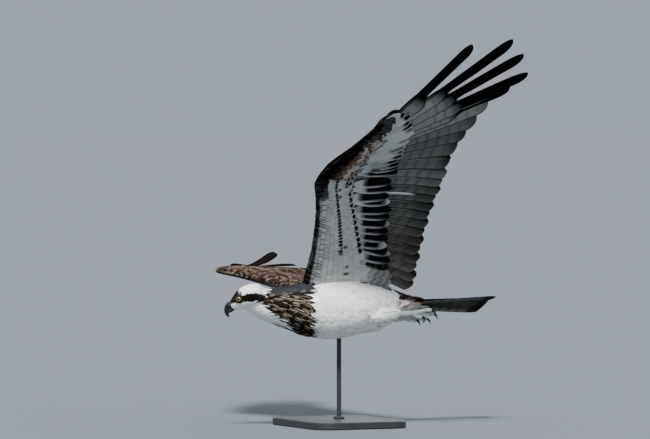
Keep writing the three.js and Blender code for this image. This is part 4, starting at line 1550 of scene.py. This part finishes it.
@dataclass
class Wing:
    """One wing's feathers."""

    surface: WingSurface
    outer: float = 11  # how far a flight feather reaches outwards of its shaft
    primary_inner: float = 33
    secondary_inner: float = 27
    slat: float = 1.3  # how much lower its inner edge lies than its neighbour's outer one
    columns: tuple[float, ...] = (-1, -0.5, -0.1, 0, 0.04, 0.3, 0.6, 0.85, 1)
    pale_quill: int = -4  # the secondary with a white streak along its shaft
    rows: int = 11  # of coverts, the greater ones last
    hand: float = 256  # the p past which the small coverts are larger and fewer
    covert_shares: tuple[float, ...] = (0, 0.2, 0.3, 0.38, 0.48, 0.62, 0.76, 0.88, 0.95, 1.0)
    covert_columns: tuple[float, ...] = (-1, -0.5, 0, 0.5, 1)
    thumbs: tuple = (((262, -34), (352, 22)), ((258, -30), (334, 30)), ((255, -24), (316, 30)))
    seed: int = 21

    def shafts(self) -> tuple[Array, Array, Array]:
        """Shaft, crossing and reach of each flight feather.

        Returns:
            (feathers, steps, ...) arrays of the three.
        """
        s = FLIGHT_SHARES
        rows = []
        for one in FLIGHT_ROW:
            primary, finger = one.rank >= 0, one.finger >= 0
            bow = lerp(0.02, 0.012, max(one.rank, 0) / 9)
            flat = bowed(one.root, one.tip, bow, s)
            lift = self.surface.lifts.get(one.rank, 0) * np.maximum(2 * s - 1, 0) ** 2
            pitch = lerp(*one.pitch, s)
            end = rounded(s, 0.9 if finger else 0.88 if primary else 0.93)
            # A finger narrows to half its width past its notch
            notch = 0.66 - 0.045 * one.finger if finger else 1.1
            cut = lerp(1, 0.5 if finger else 1, smooth(s, notch - 0.1, notch + 0.02))
            inner = np.minimum(self.primary_inner if primary else self.secondary_inner, 0.88 * pitch)
            reach = [self.outer * grown(s) * end * lerp(1, cut, 0.6), inner * grown(s) * end * cut]
            across = beside(flat, self.slat / np.maximum(pitch, 5))
            rows.append((np.concatenate([flat, lift[:, None]], 1), across, np.stack(reach, 1)))
        return tuple(np.array(part) for part in zip(*rows))

    @staticmethod
    def underside(one: Feather, s: Array, c: Array) -> tuple[Array, Array, float]:
        """How a flight feather is marked below.

        Args:
            one: the feather.
            s: shares along it.
            c: shares across it.

        Returns:
            How dark and barred it is, place by place, and how warm.
        """
        if one.rank < 0:
            inside = 1 - (one.rank + SECONDARIES) / (SECONDARIES - 1)
            dark = lerp(0.6, 0.8, math.sin(math.pi * min(inside * 1.1, 1))) + 0.1 * smooth(s, 0.76, 0.9)
            pale = (0.12 + 0.3 * smooth(inside, 0.55, 0.8)) * smooth(c, 0.3, 1)
            bar = 0.4 * (1 - smooth(s, 0.8, 0.9))
            return dark - pale + 0.25 * (c < 0), bar, 0.55 * smooth(inside, 0.4, 0.7)
        if one.finger < 0:
            dark = lerp(0.56, 0.4, one.rank / 4) + 0.3 * smooth(s, 0.85, 0.98)
            bar = 0.3 * (1 - smooth(s, 0.85, 0.95)) * smooth(c, -0.2, 0.4)
            return dark + 0.2 * (c < 0) - 0.12 * smooth(c, 0.5, 1), bar, 0.1
        notch = 0.6 - 0.05 * one.finger
        tip = smooth(s, notch - 0.06, notch + 0.08)
        return lerp(0.3 + 0.5 * (c < 0), 1.1, tip), 0.3 * (1 - tip) * smooth(s, 0.3, 0.45), 0.0

    def flight_marks(self) -> dict[str, Array]:
        """Tones and bars of the flight feathers, above and below.

        Returns:
            The marks of every feather.
        """
        s, c = FLIGHT_SHARES[:, None], np.array(self.columns)[None]
        shape = (len(FLIGHT_ROW), len(s), len(self.columns), 2)
        marks = {name: np.zeros(shape) for name in MARKS}
        for k, one in enumerate(FLIGHT_ROW):
            quiet = one.finger < 0  # not one of the black fingers
            dark, bar, warm = self.underside(one, s, c)
            streak, wide = 0.3 * quiet, c == 0
            if one.rank == self.pale_quill:
                streak, wide = 1.0, np.abs(c) < 0.2
            below = (dark, streak * wide * (1 - smooth(s, 0.7, 0.8)), warm, bar)
            above = (
                0.98 if quiet else 1.08,
                (0.25 * smooth(s, 0.94, 1.0) + 0.08 * (c == 0)) * quiet,
                (0.75 - 0.6 * c**2) * min(1, 1.1 - 0.1 * one.rank),
                0.2 * quiet,
            )
            for name, *values in zip(MARKS, above, below):
                for face, value in enumerate(values):
                    marks[name][k, :, :, face] = value
        draw = np.random.default_rng(self.seed)
        marks["dark"][..., 1] += draw.normal(0, 0.05, (len(FLIGHT_ROW), 1, 1))
        marks["vary"] = draw.random((len(FLIGHT_ROW), 1, 1, 1))
        return marks

    def flight(self) -> None:
        """Makes the primaries and secondaries."""
        count, name = len(FLIGHT_ROW), self.surface.name
        middle, across, reach = self.shafts()
        made = Vanes(
            middle, across, UP[None, None], reach, even_strips(count), self.flight_marks(),
            self.columns, 0.7, 0.5, (0.96 / count, 0.99), self.surface,
        )
        new_piece(made.build(f"flight_{name}"), [FLIGHT], "brown_feathers", (f"wing_{name}",))

    def covert_rows(self, draw: np.random.Generator) -> tuple[Array, Array, Array, Array]:
        """Lays out the coverts of one face, from the front edge to the greater coverts.

        Args:
            draw: the random source.

        Returns:
            Their tips as p, q, lengths, half widths and row numbers.
        """
        rows = []
        for k in range(1, self.rows):
            share = k / (self.rows - 1)
            last, front = k == self.rows - 1, k < 3
            step = 14.0 if last else lerp(5.2, 9.5, share)
            p = np.arange(-26 + step * (k % 2) / 2, lerp(418, 452, share), step)
            p = p + draw.normal(0, 0.5, len(p))
            p = p[(p < self.hand) | (np.arange(len(p)) % 2 == 0) | front]
            big = np.where((p < self.hand) | front, 1, 1.55)
            q = lerp(WING_CORE(p)[:, 0] + 4, MEDIAN_LINE(p)[:, 0], share)
            length = lerp(11, 36, share**1.2) * lerp(1, big, 0.6)
            width = (9.2 if last else lerp(3.6, 7.2, share)) * lerp(1, big, 0.6 if last else 1)
            rows.append([p, q, length, width, np.full(len(p), k)])
        p = np.concatenate([np.arange(-16, 262, 17.5), np.arange(272, 466, 13)])
        p = p + draw.normal(0, 1.2, len(p))
        length = np.interp(p, [-20, 240, 300, 466], [78, 76, 74, 52])
        width = np.where(p < 262, 12.5, 10)
        rows.append([p, GREATER_LINE(p)[:, 0], length, width, np.full(len(p), self.rows)])
        p, q, length, width, rank = np.concatenate(rows, 1)
        return np.stack([p, q], 1), length, width, rank

    def coverts(self, face: Face) -> None:
        """Makes the rows of coverts on one face, and the greater coverts behind them.

        Args:
            face: above or below.
        """
        below = face is Face.UNDER
        draw = np.random.default_rng(self.seed + face.value)
        tip, length, width, rank = self.covert_rows(draw)
        count, greater = len(tip), rank == self.rows
        way = unit(lie_on_wing(tip) + draw.normal(0, 0.03, (count, 2)))
        length = length * lerp(0.92, 1.1, draw.random(count))
        tip = tip + way * (draw.normal(0, 3.2, count) * greater)[:, None]
        s = np.array(self.covert_shares)
        flat = tip[:, None] - way[:, None] * (length[:, None] * (1 - s))[..., None]
        flat[..., 1] = np.maximum(flat[..., 1], WING_CORE(flat[..., 0])[..., 0] - 1.0)
        # Roots lie just under the rows before them, tips just over
        base = core_height(flat[..., 0], flat[..., 1], 3.4 if below else 2.4)
        small, large = lerp(-1.0, 1.7, smooth(s, 0, 0.9)), lerp(-1.2, 0.9, smooth(s, 0, 0.5))
        rise = base + np.where(greater[:, None], large, small)
        middle = np.concatenate([flat, face.value * rise[..., None]], 2)
        across = np.stack([-way[:, 1], way[:, 0], np.full(count, -0.05)], 1)[:, None]
        shape = np.interp(s, [0, 0.25, 0.5, 0.7, 0.85, 0.95, 1], [0.35, 0.85, 1, 1, 0.85, 0.5, 0.12])
        marks = (self.under_marks if below else self.over_marks)(tip, rank, draw)
        bake = np.stack([(tip[:, 0] + 40) / 520, (tip[:, 1] + 60) / 270], 1) * 0.97
        made = Vanes(
            middle, across, UP[None, None], even_reach(width[:, None] * shape), bake, marks,
            self.covert_columns, 0.45, 0.15, surface=self.surface,
        )
        name = f"coverts_{face.name.lower()}_{self.surface.name}"
        finish = UNDER_COVERT if below else BROWN_CONTOUR
        new_piece(made.build(name), [finish], "brown_feathers")

    def over_marks(self, tip: Array, rank: Array, draw: np.random.Generator) -> dict[str, Array]:
        """Marks of the upper coverts: brown with buff rims.

        Args:
            tip: the feathers' tips.
            rank: their rows.
            draw: the random source.

        Returns:
            Their marks.
        """
        s, c = vane_grid(self.covert_shares, self.covert_columns)
        count = len(tip)
        rim = np.clip(np.abs(c) ** 6 * smooth(s, 0.5, 0.9) + smooth(s, 0.9, 1.0), 0, 1)
        strength = lerp(0.0, 0.8, draw.random(count) ** 1.6) * np.where(rank == self.rows, 0.55, 1)
        dark = 0.55 + (1 - np.abs(c)) * 0.3 + draw.normal(0, 0.3, (count, 1, 1, 1))
        return {
            "dark": np.clip(dark + 0.12, 0, 1),
            "fringe": np.clip(rim * by_feather(strength), 0, 0.95),
            "rust": 0.45 * by_feather(draw.random(count) < 0.3) * rim,
            "vary": draw.random((count, 1, 1, 1)),
        }

    def under_marks(self, tip: Array, rank: Array, draw: np.random.Generator) -> dict[str, Array]:
        """Marks of the under coverts: white with rows of black spots and a black wrist.

        Args:
            tip: the feathers' tips.
            rank: their rows.
            draw: the random source.

        Returns:
            Their marks.
        """
        s, c = vane_grid(self.covert_shares, self.covert_columns)
        count = len(tip)
        p, q = tip.T
        jitter = draw.random(count)
        hand = smooth(p, 246, 258)
        greater = rank == self.rows
        near = 1 - np.abs(c)
        start, slim = draw.uniform(-0.12, 0.12, (2, count, 1, 1, 1))
        # The black marks' forms: a spot, a streak, a greater covert's blotch and its comma
        spot = smooth(s - start, 0.44, 0.6) * (1 - smooth(s, 0.9, 0.97))
        spot = spot * smooth(near - slim - 0.1, 0.0, 0.3)
        streak = smooth(near, 0.4, 0.9)
        pale_tip = 0.9 * by_feather(jitter < 0.4) * smooth(s + start / 2, 0.86, 0.96)
        side = 1 - np.abs(c + 0.2) / 1.2
        block = 1.3 * smooth(s - start, 0.2, 0.4) * (1 - pale_tip)
        block = block * smooth(side - 0.5 * (0.55 - s), 0.0, 0.3)
        comma = smooth(s + start, 0.62, 0.74) * (1 - smooth(s, 0.93, 0.99)) * smooth(near, 0.0, 0.3)
        # How strong each is, by row and place along the wing
        spots = (
            (rank == 6) * smooth(p, 50, 75) * (1 - hand) * lerp(0.85, 1.1, jitter) * (jitter > 0.1)
            + (rank == 10) * smooth(p, 30, 60) * (1 - smooth(p, 262, 280)) * (jitter > 0.12)
            + (rank == 9) * smooth(p, 205, 240) * (jitter > 0.4)
            + (rank == 8) * smooth(p, 240, 260) * (1 - hand) * 0.8
            + (rank == 7) * (jitter > 0.86) * 0.8
        )
        first = (rank <= 2) * 0.85 + (rank == 3) * 0.5 + (rank == 4) * 0.25
        streaks = (1 - hand) * first * (jitter > 0.4)
        blocks = greater * smooth(p, 15, 40) * (1 - smooth(p, 265, 330)) * lerp(0.86, 1, jitter)
        commas = greater * (smooth(p, 255, 275) * (1 - smooth(p, 330, 350)) + smooth(p, 395, 410))
        commas = commas + greater * (jitter > 0.5) * smooth(p, 330, 350) * 0.7
        dark = by_feather(spots) * spot + by_feather(streaks) * streak
        dark = dark + by_feather(blocks) * block + by_feather(commas) * comma
        # The dark front edge, the black patch past the wrist, the buff behind it, the grey armpit
        lead = WING_CORE(p)[:, 0]
        edge = (rank == 1) * 0.95 + (rank > 1) * (p > 205) * (q < lead + 30) * 0.9
        wrist = by_feather(smooth(p, 190, 215))
        dark = dark + by_feather(edge) * (1 - 0.8 * (1 - wrist) * smooth(s, 0.55, 0.75))
        outline = rank + 8 * smooth(p, 300, 440) + 2 * jitter
        patch = hand * (1 - smooth(outline, 6.5, 8.5)) + hand * (rank <= 3)
        buff = hand * (rank > 4) * (rank < self.rows) * (1 - smooth(p, 375, 400))
        shade = by_feather(buff * (jitter > 0.3)) * smooth(near, 0.1, 0.5) * (1 - smooth(s, 0.85, 0.95))
        dark = dark + by_feather(patch * 0.97) + shade
        inner = by_feather(greater * (1 - smooth(p, 20, 60)) * 0.55)
        return {
            "dark": np.clip(dark + inner * smooth(s, 0.3, 0.6), 0, 1),
            "rust": by_feather(buff * 0.4) * smooth(s, 0.3, 0.7),
            "bar": inner,
            "vary": draw.random((count, 1, 1, 1)),
        }

    def thumb(self) -> None:
        """Makes the three stiff feathers at the wrist."""
        s = np.linspace(0, 1, 16)
        middles, acrosses = [], []
        for i, (root, tip) in enumerate(self.thumbs):
            flat = bowed(np.array(root), np.array(tip), 0.03, s)
            middles.append(np.concatenate([flat, lerp(5.5, 6.5 - 1.3 * i, s)[:, None]], 1))
            acrosses.append(beside(flat))
        count = len(self.thumbs)
        reach = even_reach(9.5 * (grown(s) * rounded(s, 0.7, 0.02)), count)
        marks = {"dark": np.array(1.0), "rust": np.array(0.4), "vary": np.array(0.5)}
        made = Vanes(
            np.array(middles), np.array(acrosses), UP[None, None], reach, even_strips(count), marks,
            self.columns, 0.6, 0.3, (0.3, 0.9), self.surface,
        )
        new_piece(made.build(f"thumb_{self.surface.name}"), [FLIGHT], "brown_feathers")

    def build(self) -> None:
        """Makes the whole wing."""
        self.flight()
        self.coverts(Face.UNDER)
        self.coverts(Face.OVER)
        self.thumb()


@dataclass
class Tail:
    """Tail feathers and the coverts at their base."""

    pairs: int = 6
    length: float = 205
    spread: float = 54  # from the middle to the outer feather's edge
    drop: float = 1.4  # how much lower each feather lies than the next one in
    root: tuple[float, float, float] = (0.0, 118, 3)
    shares: Array = field(
        default_factory=lambda: np.concatenate([np.linspace(0, 0.86, 24), np.linspace(0.88, 1, 10)])
    )
    columns: tuple[float, ...] = (-1, -0.5, -0.1, 0, 0.1, 0.5, 1)
    covert_shares: tuple[float, ...] = (0, 0.2, 0.4, 0.6, 0.8, 0.93, 1.0)
    covert_columns: tuple[float, ...] = (-1, -0.5, 0, 0.5, 1)
    covert_rows: tuple[int, ...] = (-16, -7, 2, 11)  # y of their roots, from the tail's own
    seed: int = 33

    def surface(self, points: Array) -> Array:
        """Places of the flat tail in the bird's frame."""
        return points + np.array(self.root)

    def build(self) -> None:
        """Makes the fan and its coverts."""
        draw = np.random.default_rng(self.seed)
        s = self.shares
        rows = []
        for side in (-1, 1):
            for k, t in enumerate(np.linspace(0, 1, self.pairs)):
                root = np.array([2 + 8 * t, 0.0])
                tip = np.array([lerp(6, self.spread - 8, t), self.length * (1 - 0.035 * t * t)])
                flat = bowed(root, tip, 0.01, s)
                height = 2.5 - self.drop * (k + (0 if side > 0 else 0.5))
                middle = np.stack([side * flat[:, 0], flat[:, 1], np.full(len(s), height)], 1)
                shape = grown(s) * rounded(s, 0.9)
                reach = np.stack([lerp(13, 8, t) * shape, lerp(13, 18, t) * shape], 1)
                rows.append((middle, beside(flat, side=side), reach))
        middle, across, reach = (np.array(part) for part in zip(*rows))
        count = len(middle)
        made = Vanes(
            middle, across, UP[None, None], reach, even_strips(count), self.fan_marks(draw),
            self.columns, 0.7, 0.4, (0.96 / count, 0.99), self.surface,
        )
        new_piece(made.build("tail_feathers"), [FLIGHT], "brown_feathers", ("tail",))
        self.coverts(Face.OVER, draw)
        self.coverts(Face.UNDER, draw)

    def fan_marks(self, draw: np.random.Generator) -> dict[str, Array]:
        """Marks of the tail feathers: brown bars above, paler and greyer below, a dark end.

        Args:
            draw: the random source.

        Returns:
            Their marks.
        """
        s, c = vane_grid(self.shares, self.columns)
        under = np.array([0.0, 1.0])
        tip = smooth(s, 0.84, 0.9)
        rank = by_feather(np.tile(np.arange(self.pairs), 2))
        return {
            "dark": lerp(lerp(0.86, lerp(0.35, 0.55, rank / 5), under), 0.95, tip),
            "bar": 0.5 * (1 - tip),
            "rust": lerp(0.7, 0.4, under) * (1 - 0.6 * c**2),
            "fringe": 0.4 * (c == 0) * (1 - tip) * np.array([0.3, 1]),
            "vary": draw.random((2 * self.pairs, 1, 1, 1)),
        }

    def coverts(self, face: Face, draw: np.random.Generator) -> None:
        """Makes the soft feathers over or under the tail's base.

        Args:
            face: above or below.
            draw: the random source.
        """
        way, above = face.value, face is Face.OVER
        # Every second row is set over the gaps of the one before
        rows = [
            (t, start)
            for i, start in enumerate(self.covert_rows)
            for t in np.linspace(-1, 1, 9) + (0.1 if i % 2 else 0)
        ]
        t, start = np.array(rows).T
        count = len(t)
        s = np.array(self.covert_shares)
        length = lerp(40, 62, draw.random(count)) * (1 - 0.4 * t * t)
        q = start[:, None] + s * length[:, None]
        p = t[:, None] * lerp(14, 27, s)
        _, middle, _, up, down = np.moveaxis(TRUNK(self.root[1] + q), -1, 0)
        round_trunk = np.sqrt(np.maximum(1 - 0.5 * t[:, None] ** 2, 0))
        body = middle - self.root[2] + way * (up if above else down) * round_trunk
        clear = np.full_like(body, 3.2 if above else -8.0)
        height = lerp(body - way * 1.5, clear, smooth(q, 4, 40)) + way * 0.8 * s
        spine = np.stack([p, q, height], 2)
        along = unit(np.gradient(spine, axis=1))
        across = unit(np.cross(along, UP))
        shape = np.interp(s, [0, 0.2, 0.6, 0.8, 0.93, 1], [0.4, 0.8, 1, 0.85, 0.5, 0.12])
        bake = np.stack([(p[:, 0] + 40) / 80, (q[:, 0] + 20) / 60], 1) * 0.97
        marks = self.covert_marks(above, t, draw)
        made = Vanes(
            spine, across, np.cross(across, along), even_reach(7.5 * shape, count), bake, marks,
            self.covert_columns, 0.5, 0.2, surface=self.surface,
        )
        finish, slot = (BROWN_CONTOUR, "brown_feathers") if above else (WHITE_DOWN, "white_feathers")
        new_piece(made.build(f"tail_coverts_{face.name.lower()}"), [finish], slot)

    def covert_marks(self, above: bool, t: Array, draw: np.random.Generator) -> dict[str, Array]:
        """Marks of the tail's coverts: brown with pale rims above, white with a stain below.

        Args:
            above: whether they lie over the tail.
            t: how far to the left each is, from -1 to 1.
            draw: the random source.

        Returns:
            Their marks.
        """
        s, c = vane_grid(self.covert_shares, self.covert_columns)
        rim = np.clip(np.abs(c) ** 3 + smooth(s, 0.8, 1), 0, 1)
        each = (len(t), 1, 1, 1)
        if above:
            dark, fringe, rust = np.full(each, 0.7), 0.7 * rim, 0.3 * rim
        else:
            dark, fringe = 0.25 * (draw.random(each) < 0.3), 0.5 * rim
            rust = 0.6 * by_feather(smooth(t, 0.2, 0.9)) * smooth(s, 0.2, 0.6)
        return {"dark": dark, "fringe": fringe, "rust": rust, "vary": draw.random(each)}


# Head, feet and stand


def on_ball(radius: Array | float, polar: Array, around: Array) -> Array:
    """Points round a ball whose axis is +X.

    Args:
        radius: how far each is from the middle.
        polar: its angle from the axis.
        around: its angle about the axis.

    Returns:
        Their places, with one more axis than the angles.
    """
    out = radius * np.sin(polar)
    x = radius * np.cos(polar) + 0 * around
    return np.stack([x, out * np.cos(around), out * np.sin(around)], -1)


@dataclass
class HeadParts:
    """Eyes, lids, brows and bill."""

    eye_side: float = 18.5
    eye_radius: float = 8.0
    eye_turn: float = 12.0  # degrees that each eye looks forwards
    cornea: float = 0.35  # how far it bulges over the iris
    pupil: float = 21.0  # degrees from the eye's axis
    iris: float = 46.0
    lid_rim: float = 33.0
    lid_oval: float = 0.2
    eye_sides: int = 40
    bill_sides: int = 28
    ridge: float = 0.16  # how much narrower the bill is at its ridge
    bill_open: float = 1.0
    gape: tuple = ((8.6, -15.5, -7.0), (11.8, -12, -8.2), (15, -7, -9.2))
    # Section of the lid: degrees from its rim, height off the ball, share of the oval
    lid: tuple = (
        (2.5, 0.2, 1), (0, 0.55, 1), (1, 1.0, 1), (6, 1.2, 0.9),
        (20, 1.0, 0.4), (40, 0.7, 0), (43, 0, 0), (22, 0.1, 0.4),
    )

    def mandible(self, line: Curve, low: float, high: float, steps: int, drop: float) -> Array:
        """Rings of one mandible along its own middle line.

        Args:
            line: its places and sizes.
            low: where along it to start.
            high: where to end.
            steps: how many rings.
            drop: how far it lies under its line.

        Returns:
            (steps, sides, 3) points in the bird's frame.
        """
        t = np.linspace(low, high, steps)
        forward, up, half, depth = np.moveaxis(line(t), -1, 0)[..., None]
        way = line(np.minimum(t + 0.02, 1)) - line(np.maximum(t - 0.02, 0))
        along = unit(way[:, :2])[..., None]
        angle = circle(self.bill_sides)[None]
        side, rise = half * np.cos(angle), depth * np.sin(angle)
        side = side * (1 - self.ridge * np.maximum(np.sin(angle), 0) ** 2)
        places = [side, forward - along[:, 1] * rise, up - drop + along[:, 0] * rise]
        return on_head(np.stack(places, -1))

    def bill(self) -> None:
        """Makes the cere and both mandibles, then the nostrils and the corners of the mouth."""
        for name, line, low, high, steps, drop, finish, slot, node in (
            ("cere_skin", UPPER_BILL, 0.0, 0.3, 14, 0, CERE, "cere", "cere"),
            ("bill_hook", UPPER_BILL, 0.305, 1.0, 40, 0, HORN, "horn", "bill_upper"),
            ("bill_lower_edge", LOWER_BILL, 0.0, 1.0, 24, self.bill_open, HORN, "horn", "bill_lower"),
        ):
            mesh = mesh_of_tubes(name, [self.mandible(line, low, high, steps, drop)])
            new_piece(mesh, [finish], slot, (node,))
        forward, up, half, _ = UPPER_BILL(0.2)
        nostril = [[half * 0.93, forward + 1.8, up + 3.4], [half, forward, up + 2.2],
                   [half * 0.98, forward - 1.8, up + 1.2]]
        openings = ((nostril, (0.25, 0.75, 0.25), 10), (self.gape, (0.9, 0.9, 0.3), 12))
        slits = [
            tube(on_head(np.array(line) * [side, 1, 1]), radii, steps, 10)
            for line, radii, steps in openings
            for side in (1, -1)
        ]
        new_piece(mesh_of_tubes("nostrils_and_gape", slits), [LID], "horn")

    def on_eye(self, points: Array, side: int) -> Array:
        """Points of an eyeball's frame in the bird's.

        Args:
            points: places from its middle, with +X along its axis.
            side: 1 for the left eye, -1 for the right.

        Returns:
            The same places on the bird.
        """
        turned = points * [side, 1, 1] @ turn("Z", -self.eye_turn * side).T
        return on_head(turned + [side * self.eye_side, 0, 0])

    def eye(self, side: int) -> None:
        """Makes one eye: pupil, iris and dark rim on one ball.

        Args:
            side: 1 for the left, -1 for the right.
        """
        polar = np.radians(np.concatenate([np.linspace(2, 60, 30), np.linspace(66, 174, 16)]))[:, None]
        degrees = np.degrees(polar)
        radius = self.eye_radius + self.cornea * (1 - smooth(degrees, 20, 55))
        rings = self.on_eye(on_ball(radius, polar, circle(self.eye_sides)[None]), side)
        points, sizes, corners = merged([rings])
        if side < 0:
            # The mirrored ball is inside out
            faces = np.split(corners, np.cumsum(sizes)[:-1])
            corners = np.concatenate([face[::-1] for face in faces])
        name = "left" if side > 0 else "right"
        mesh = mesh_of(f"eyeball_{name}", to_row(points), sizes, corners)
        ring = np.repeat((degrees[:-1] + degrees[1:]) / 2, self.eye_sides)
        ring = np.concatenate([ring, [0, 180]])
        kind = np.where(ring < self.pupil, 1, np.where(ring < self.iris, 0, 2))
        mesh.polygons.foreach_set("material_index", kind.astype(np.int32))
        new_piece(mesh, [IRIS, PUPIL, LID], "eye", (f"eye_{name}",))

    def lids(self) -> None:
        """Makes the lids, a band over each ball with an oval opening."""
        degrees, height, share = np.array(self.lid).T
        around = circle(self.eye_sides)[:, None]
        polar = np.radians(self.lid_rim + degrees) * (1 - self.lid_oval * share * np.sin(around) ** 2)
        band = on_ball(self.eye_radius + height, polar, around)
        rows, sides = band.shape[:2]
        total = rows * sides
        # The band is a tube without ends, whose last ring is its first
        quads = loft_faces(rows + 1, sides)[1][: 4 * total].reshape(-1, 4) % total
        points = np.concatenate([self.on_eye(band.reshape(-1, 3), side) for side in (1, -1)])
        corners = np.concatenate([quads, quads[:, ::-1] + total])
        mesh = mesh_of("lid_rims", to_row(points), np.full(len(corners), 4), corners.ravel())
        new_piece(mesh, [LID], "eye")

    def brows(self) -> None:
        """Makes the bony brows over the eyes."""
        t = np.linspace(0, 1, 9)
        size = 2.9 * np.sin(math.pi * lerp(0.12, 0.95, t))
        line = np.stack([lerp(20.6, 9.0, t * t), lerp(12, -16, t), 7.2 - 3.6 * t], 1)
        lofts = [tube(on_head(line * [side, 1, 1]), size, 20, 14, 0.55) for side in (1, -1)]
        mesh = mesh_of_tubes("brows", lofts)
        write_mark(mesh, "dark", np.full(len(mesh.vertices), 0.93))
        new_piece(mesh, [WHITE_DOWN], "white_feathers")

    def build(self) -> None:
        """Makes every part of the face."""
        self.bill()
        self.lids()
        self.brows()
        for side in (1, -1):
            self.eye(side)


@dataclass
class Legs:
    """Bare shanks, toes and claws, trailing under the tail."""

    shank: tuple = ((17, 112, -21), (17, 124, -24), (16, 146, -22), (16, 153, -22))
    shank_radii: tuple = (6.0, 6.2, 5.2, 6.8)
    toes: dict = field(default_factory=lambda: {
        "inner": ((14, 150, -21), (10, 169, -17), (8, 185, -13)),
        "middle": ((16, 152, -22), (17, 172, -25), (17, 190, -25)),
        "outer": ((18, 150, -22), (24, 167, -20), (27, 182, -20)),
        "hind": ((16, 146, -25), (14, 156, -29), (13, 165, -29)),
    })
    toe_radii: tuple = (5.0, 3.9, 4.5, 3.6, 4.3, 3.4)  # pads swell between the joints
    claw_length: float = 17
    claw_bend: float = math.radians(115)
    claw_radii: tuple = (2.7, 2.2, 1.4, 0.3)
    claw_sunk: float = 2.0  # how far its root lies inside the toe
    voxel: float = 0.9
    rounds: int = 4

    @staticmethod
    def placed(line: tuple, side: int) -> Array:
        """A line of the left leg, mirrored and lifted for the right one."""
        return np.array(line, float) * [side, 1, 1] + FAR_LEG_LIFT * (side < 0) * UP

    def claw(self, line: Array) -> Array:
        """Rings of one claw, from a toe's tip, curling down.

        Args:
            line: the toe's places.

        Returns:
            (rings, sides, 3) points.
        """
        along = unit(line[-1] - line[-2])
        down = unit((along @ UP) * along - UP)
        radius = self.claw_length / self.claw_bend
        t = np.linspace(0, 1, 8)[:, None] * self.claw_bend
        curl = radius * (along * np.sin(t) + down * (1 - np.cos(t)))
        return tube(line[-1] - self.claw_sunk * along + curl, self.claw_radii, 18, 14, 1.1)

    def build(self) -> None:
        """Makes both legs."""
        for side, name in ((1, "left"), (-1, "right")):
            toes = {toe: self.placed(line, side) for toe, line in self.toes.items()}
            lofts = [tube(self.placed(self.shank, side), self.shank_radii, 26, 20)]
            lofts += [tube(line, self.toe_radii, 28, 16) for line in toes.values()]
            mesh = fused(f"scaled_foot_{name}", lofts, self.voxel, self.rounds)
            new_piece(mesh, [FOOT], "foot_scales", (f"foot_{name}",))
            for toe, line in toes.items():
                mesh = mesh_of_tubes(f"talon_{toe}_{name}", [self.claw(line)])
                new_piece(mesh, [HORN], "horn", (f"claw_{toe}_{name}",))


@dataclass
class Stand:
    """The display stand, whose CAD nodes keep their shapes."""

    nodes: tuple[str, ...] = ("stand_base", "stand_rod")

    def build(self) -> None:
        """Gives the nodes their powder coat."""
        for made in bpy.data.objects:
            if made.type == "MESH" and made.name.split(".")[0] in self.nodes:
                made.data.materials.clear()
                made.data.materials.append(material_of(STEEL_COAT))
                LOG.info("%s dressed", made.name)


# Studio


@dataclass(frozen=True)
class Sun:
    """One distant light."""

    name: str
    way: tuple[float, float, float]  # towards it
    angle: float  # degrees, how soft its shadows are
    power: float


@dataclass
class Studio:
    """Floor, lights and camera."""

    azimuth: float = 65.4
    elevation: float = 1.5
    distance: float = 12.0
    frame_width: float = 1.263  # metres across the picture at the bird
    aim_side: float = -0.0291  # metres from the bird's trunk to the middle of the picture
    aim_up: float = 0.1681
    sensor: float = 36.0  # mm
    far: float = 200.0  # metres, past the floor's far edge
    floor_half: float = 40.0
    surround: float = 0.7
    surround_colour: str = "#c2cfdc"
    suns: tuple[Sun, ...] = (
        Sun("key", (0.85, -0.5, 1.15), 12, 6.0),
        Sun("back", (-1.2, 1.0, 0.9), 40, 0.8),
    )

    def floor(self) -> None:
        """Lays a plain floor."""
        corners = np.array([[-1, -1, 0], [1, -1, 0], [1, 1, 0], [-1, 1, 0]]) * self.floor_half
        mesh = mesh_of("floor", corners, np.array([4]), np.arange(4))
        mesh.materials.append(material_of(FLOOR_PAINT))
        link(bpy.data.objects.new("floor", mesh))

    def lights(self) -> None:
        """Hangs soft lights and an even pale surround."""
        world = bpy.data.worlds.new("surround")
        bpy.context.scene.world = world
        world.use_nodes = True
        sky = world.node_tree.nodes["Background"]
        sky.inputs["Color"].default_value = linear(self.surround_colour)
        sky.inputs["Strength"].default_value = self.surround
        for sun in self.suns:
            lamp = bpy.data.lights.new(sun.name, "SUN")
            lamp.energy, lamp.angle = sun.power, math.radians(sun.angle)
            made = link(bpy.data.objects.new(sun.name, lamp))
            made.rotation_mode = "QUATERNION"
            made.rotation_quaternion = Vector(sun.way).to_track_quat("Z", "Y")

    def camera(self) -> None:
        """Sets the camera at the photograph's viewing angle and framing."""
        a, e = math.radians(self.azimuth), math.radians(self.elevation)
        look = Vector((-math.sin(a) * math.cos(e), math.cos(a) * math.cos(e), -math.sin(e)))
        right = Vector((math.cos(a), math.sin(a), 0))
        aim = Vector(PLACE * MM) + right * self.aim_side + right.cross(look) * self.aim_up
        data = bpy.data.cameras.new("camera")
        data.sensor_width = self.sensor
        data.lens = self.sensor * self.distance / self.frame_width
        data.clip_end = self.far
        made = link(bpy.data.objects.new("camera", data))
        made.location = aim - look * self.distance
        made.rotation_mode = "QUATERNION"
        made.rotation_quaternion = look.to_track_quat("-Z", "Y")
        bpy.context.scene.camera = made

    def build(self) -> None:
        """Makes the whole studio."""
        self.floor()
        self.lights()
        self.camera()


def main() -> None:
    """Builds the studio and the bird piece by piece, and dresses the stand."""
    logging.basicConfig(level=logging.INFO, format="%(name)s: %(message)s")
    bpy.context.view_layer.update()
    Studio().build()
    skin = Skin().build()
    BodyCoat(skin).build()
    for surface in WINGS:
        Wing(surface).build()
    for part in (Tail(), HeadParts(), Legs(), Stand()):
        part.build()
    bpy.context.view_layer.update()


if __name__ == "__main__":
    main()
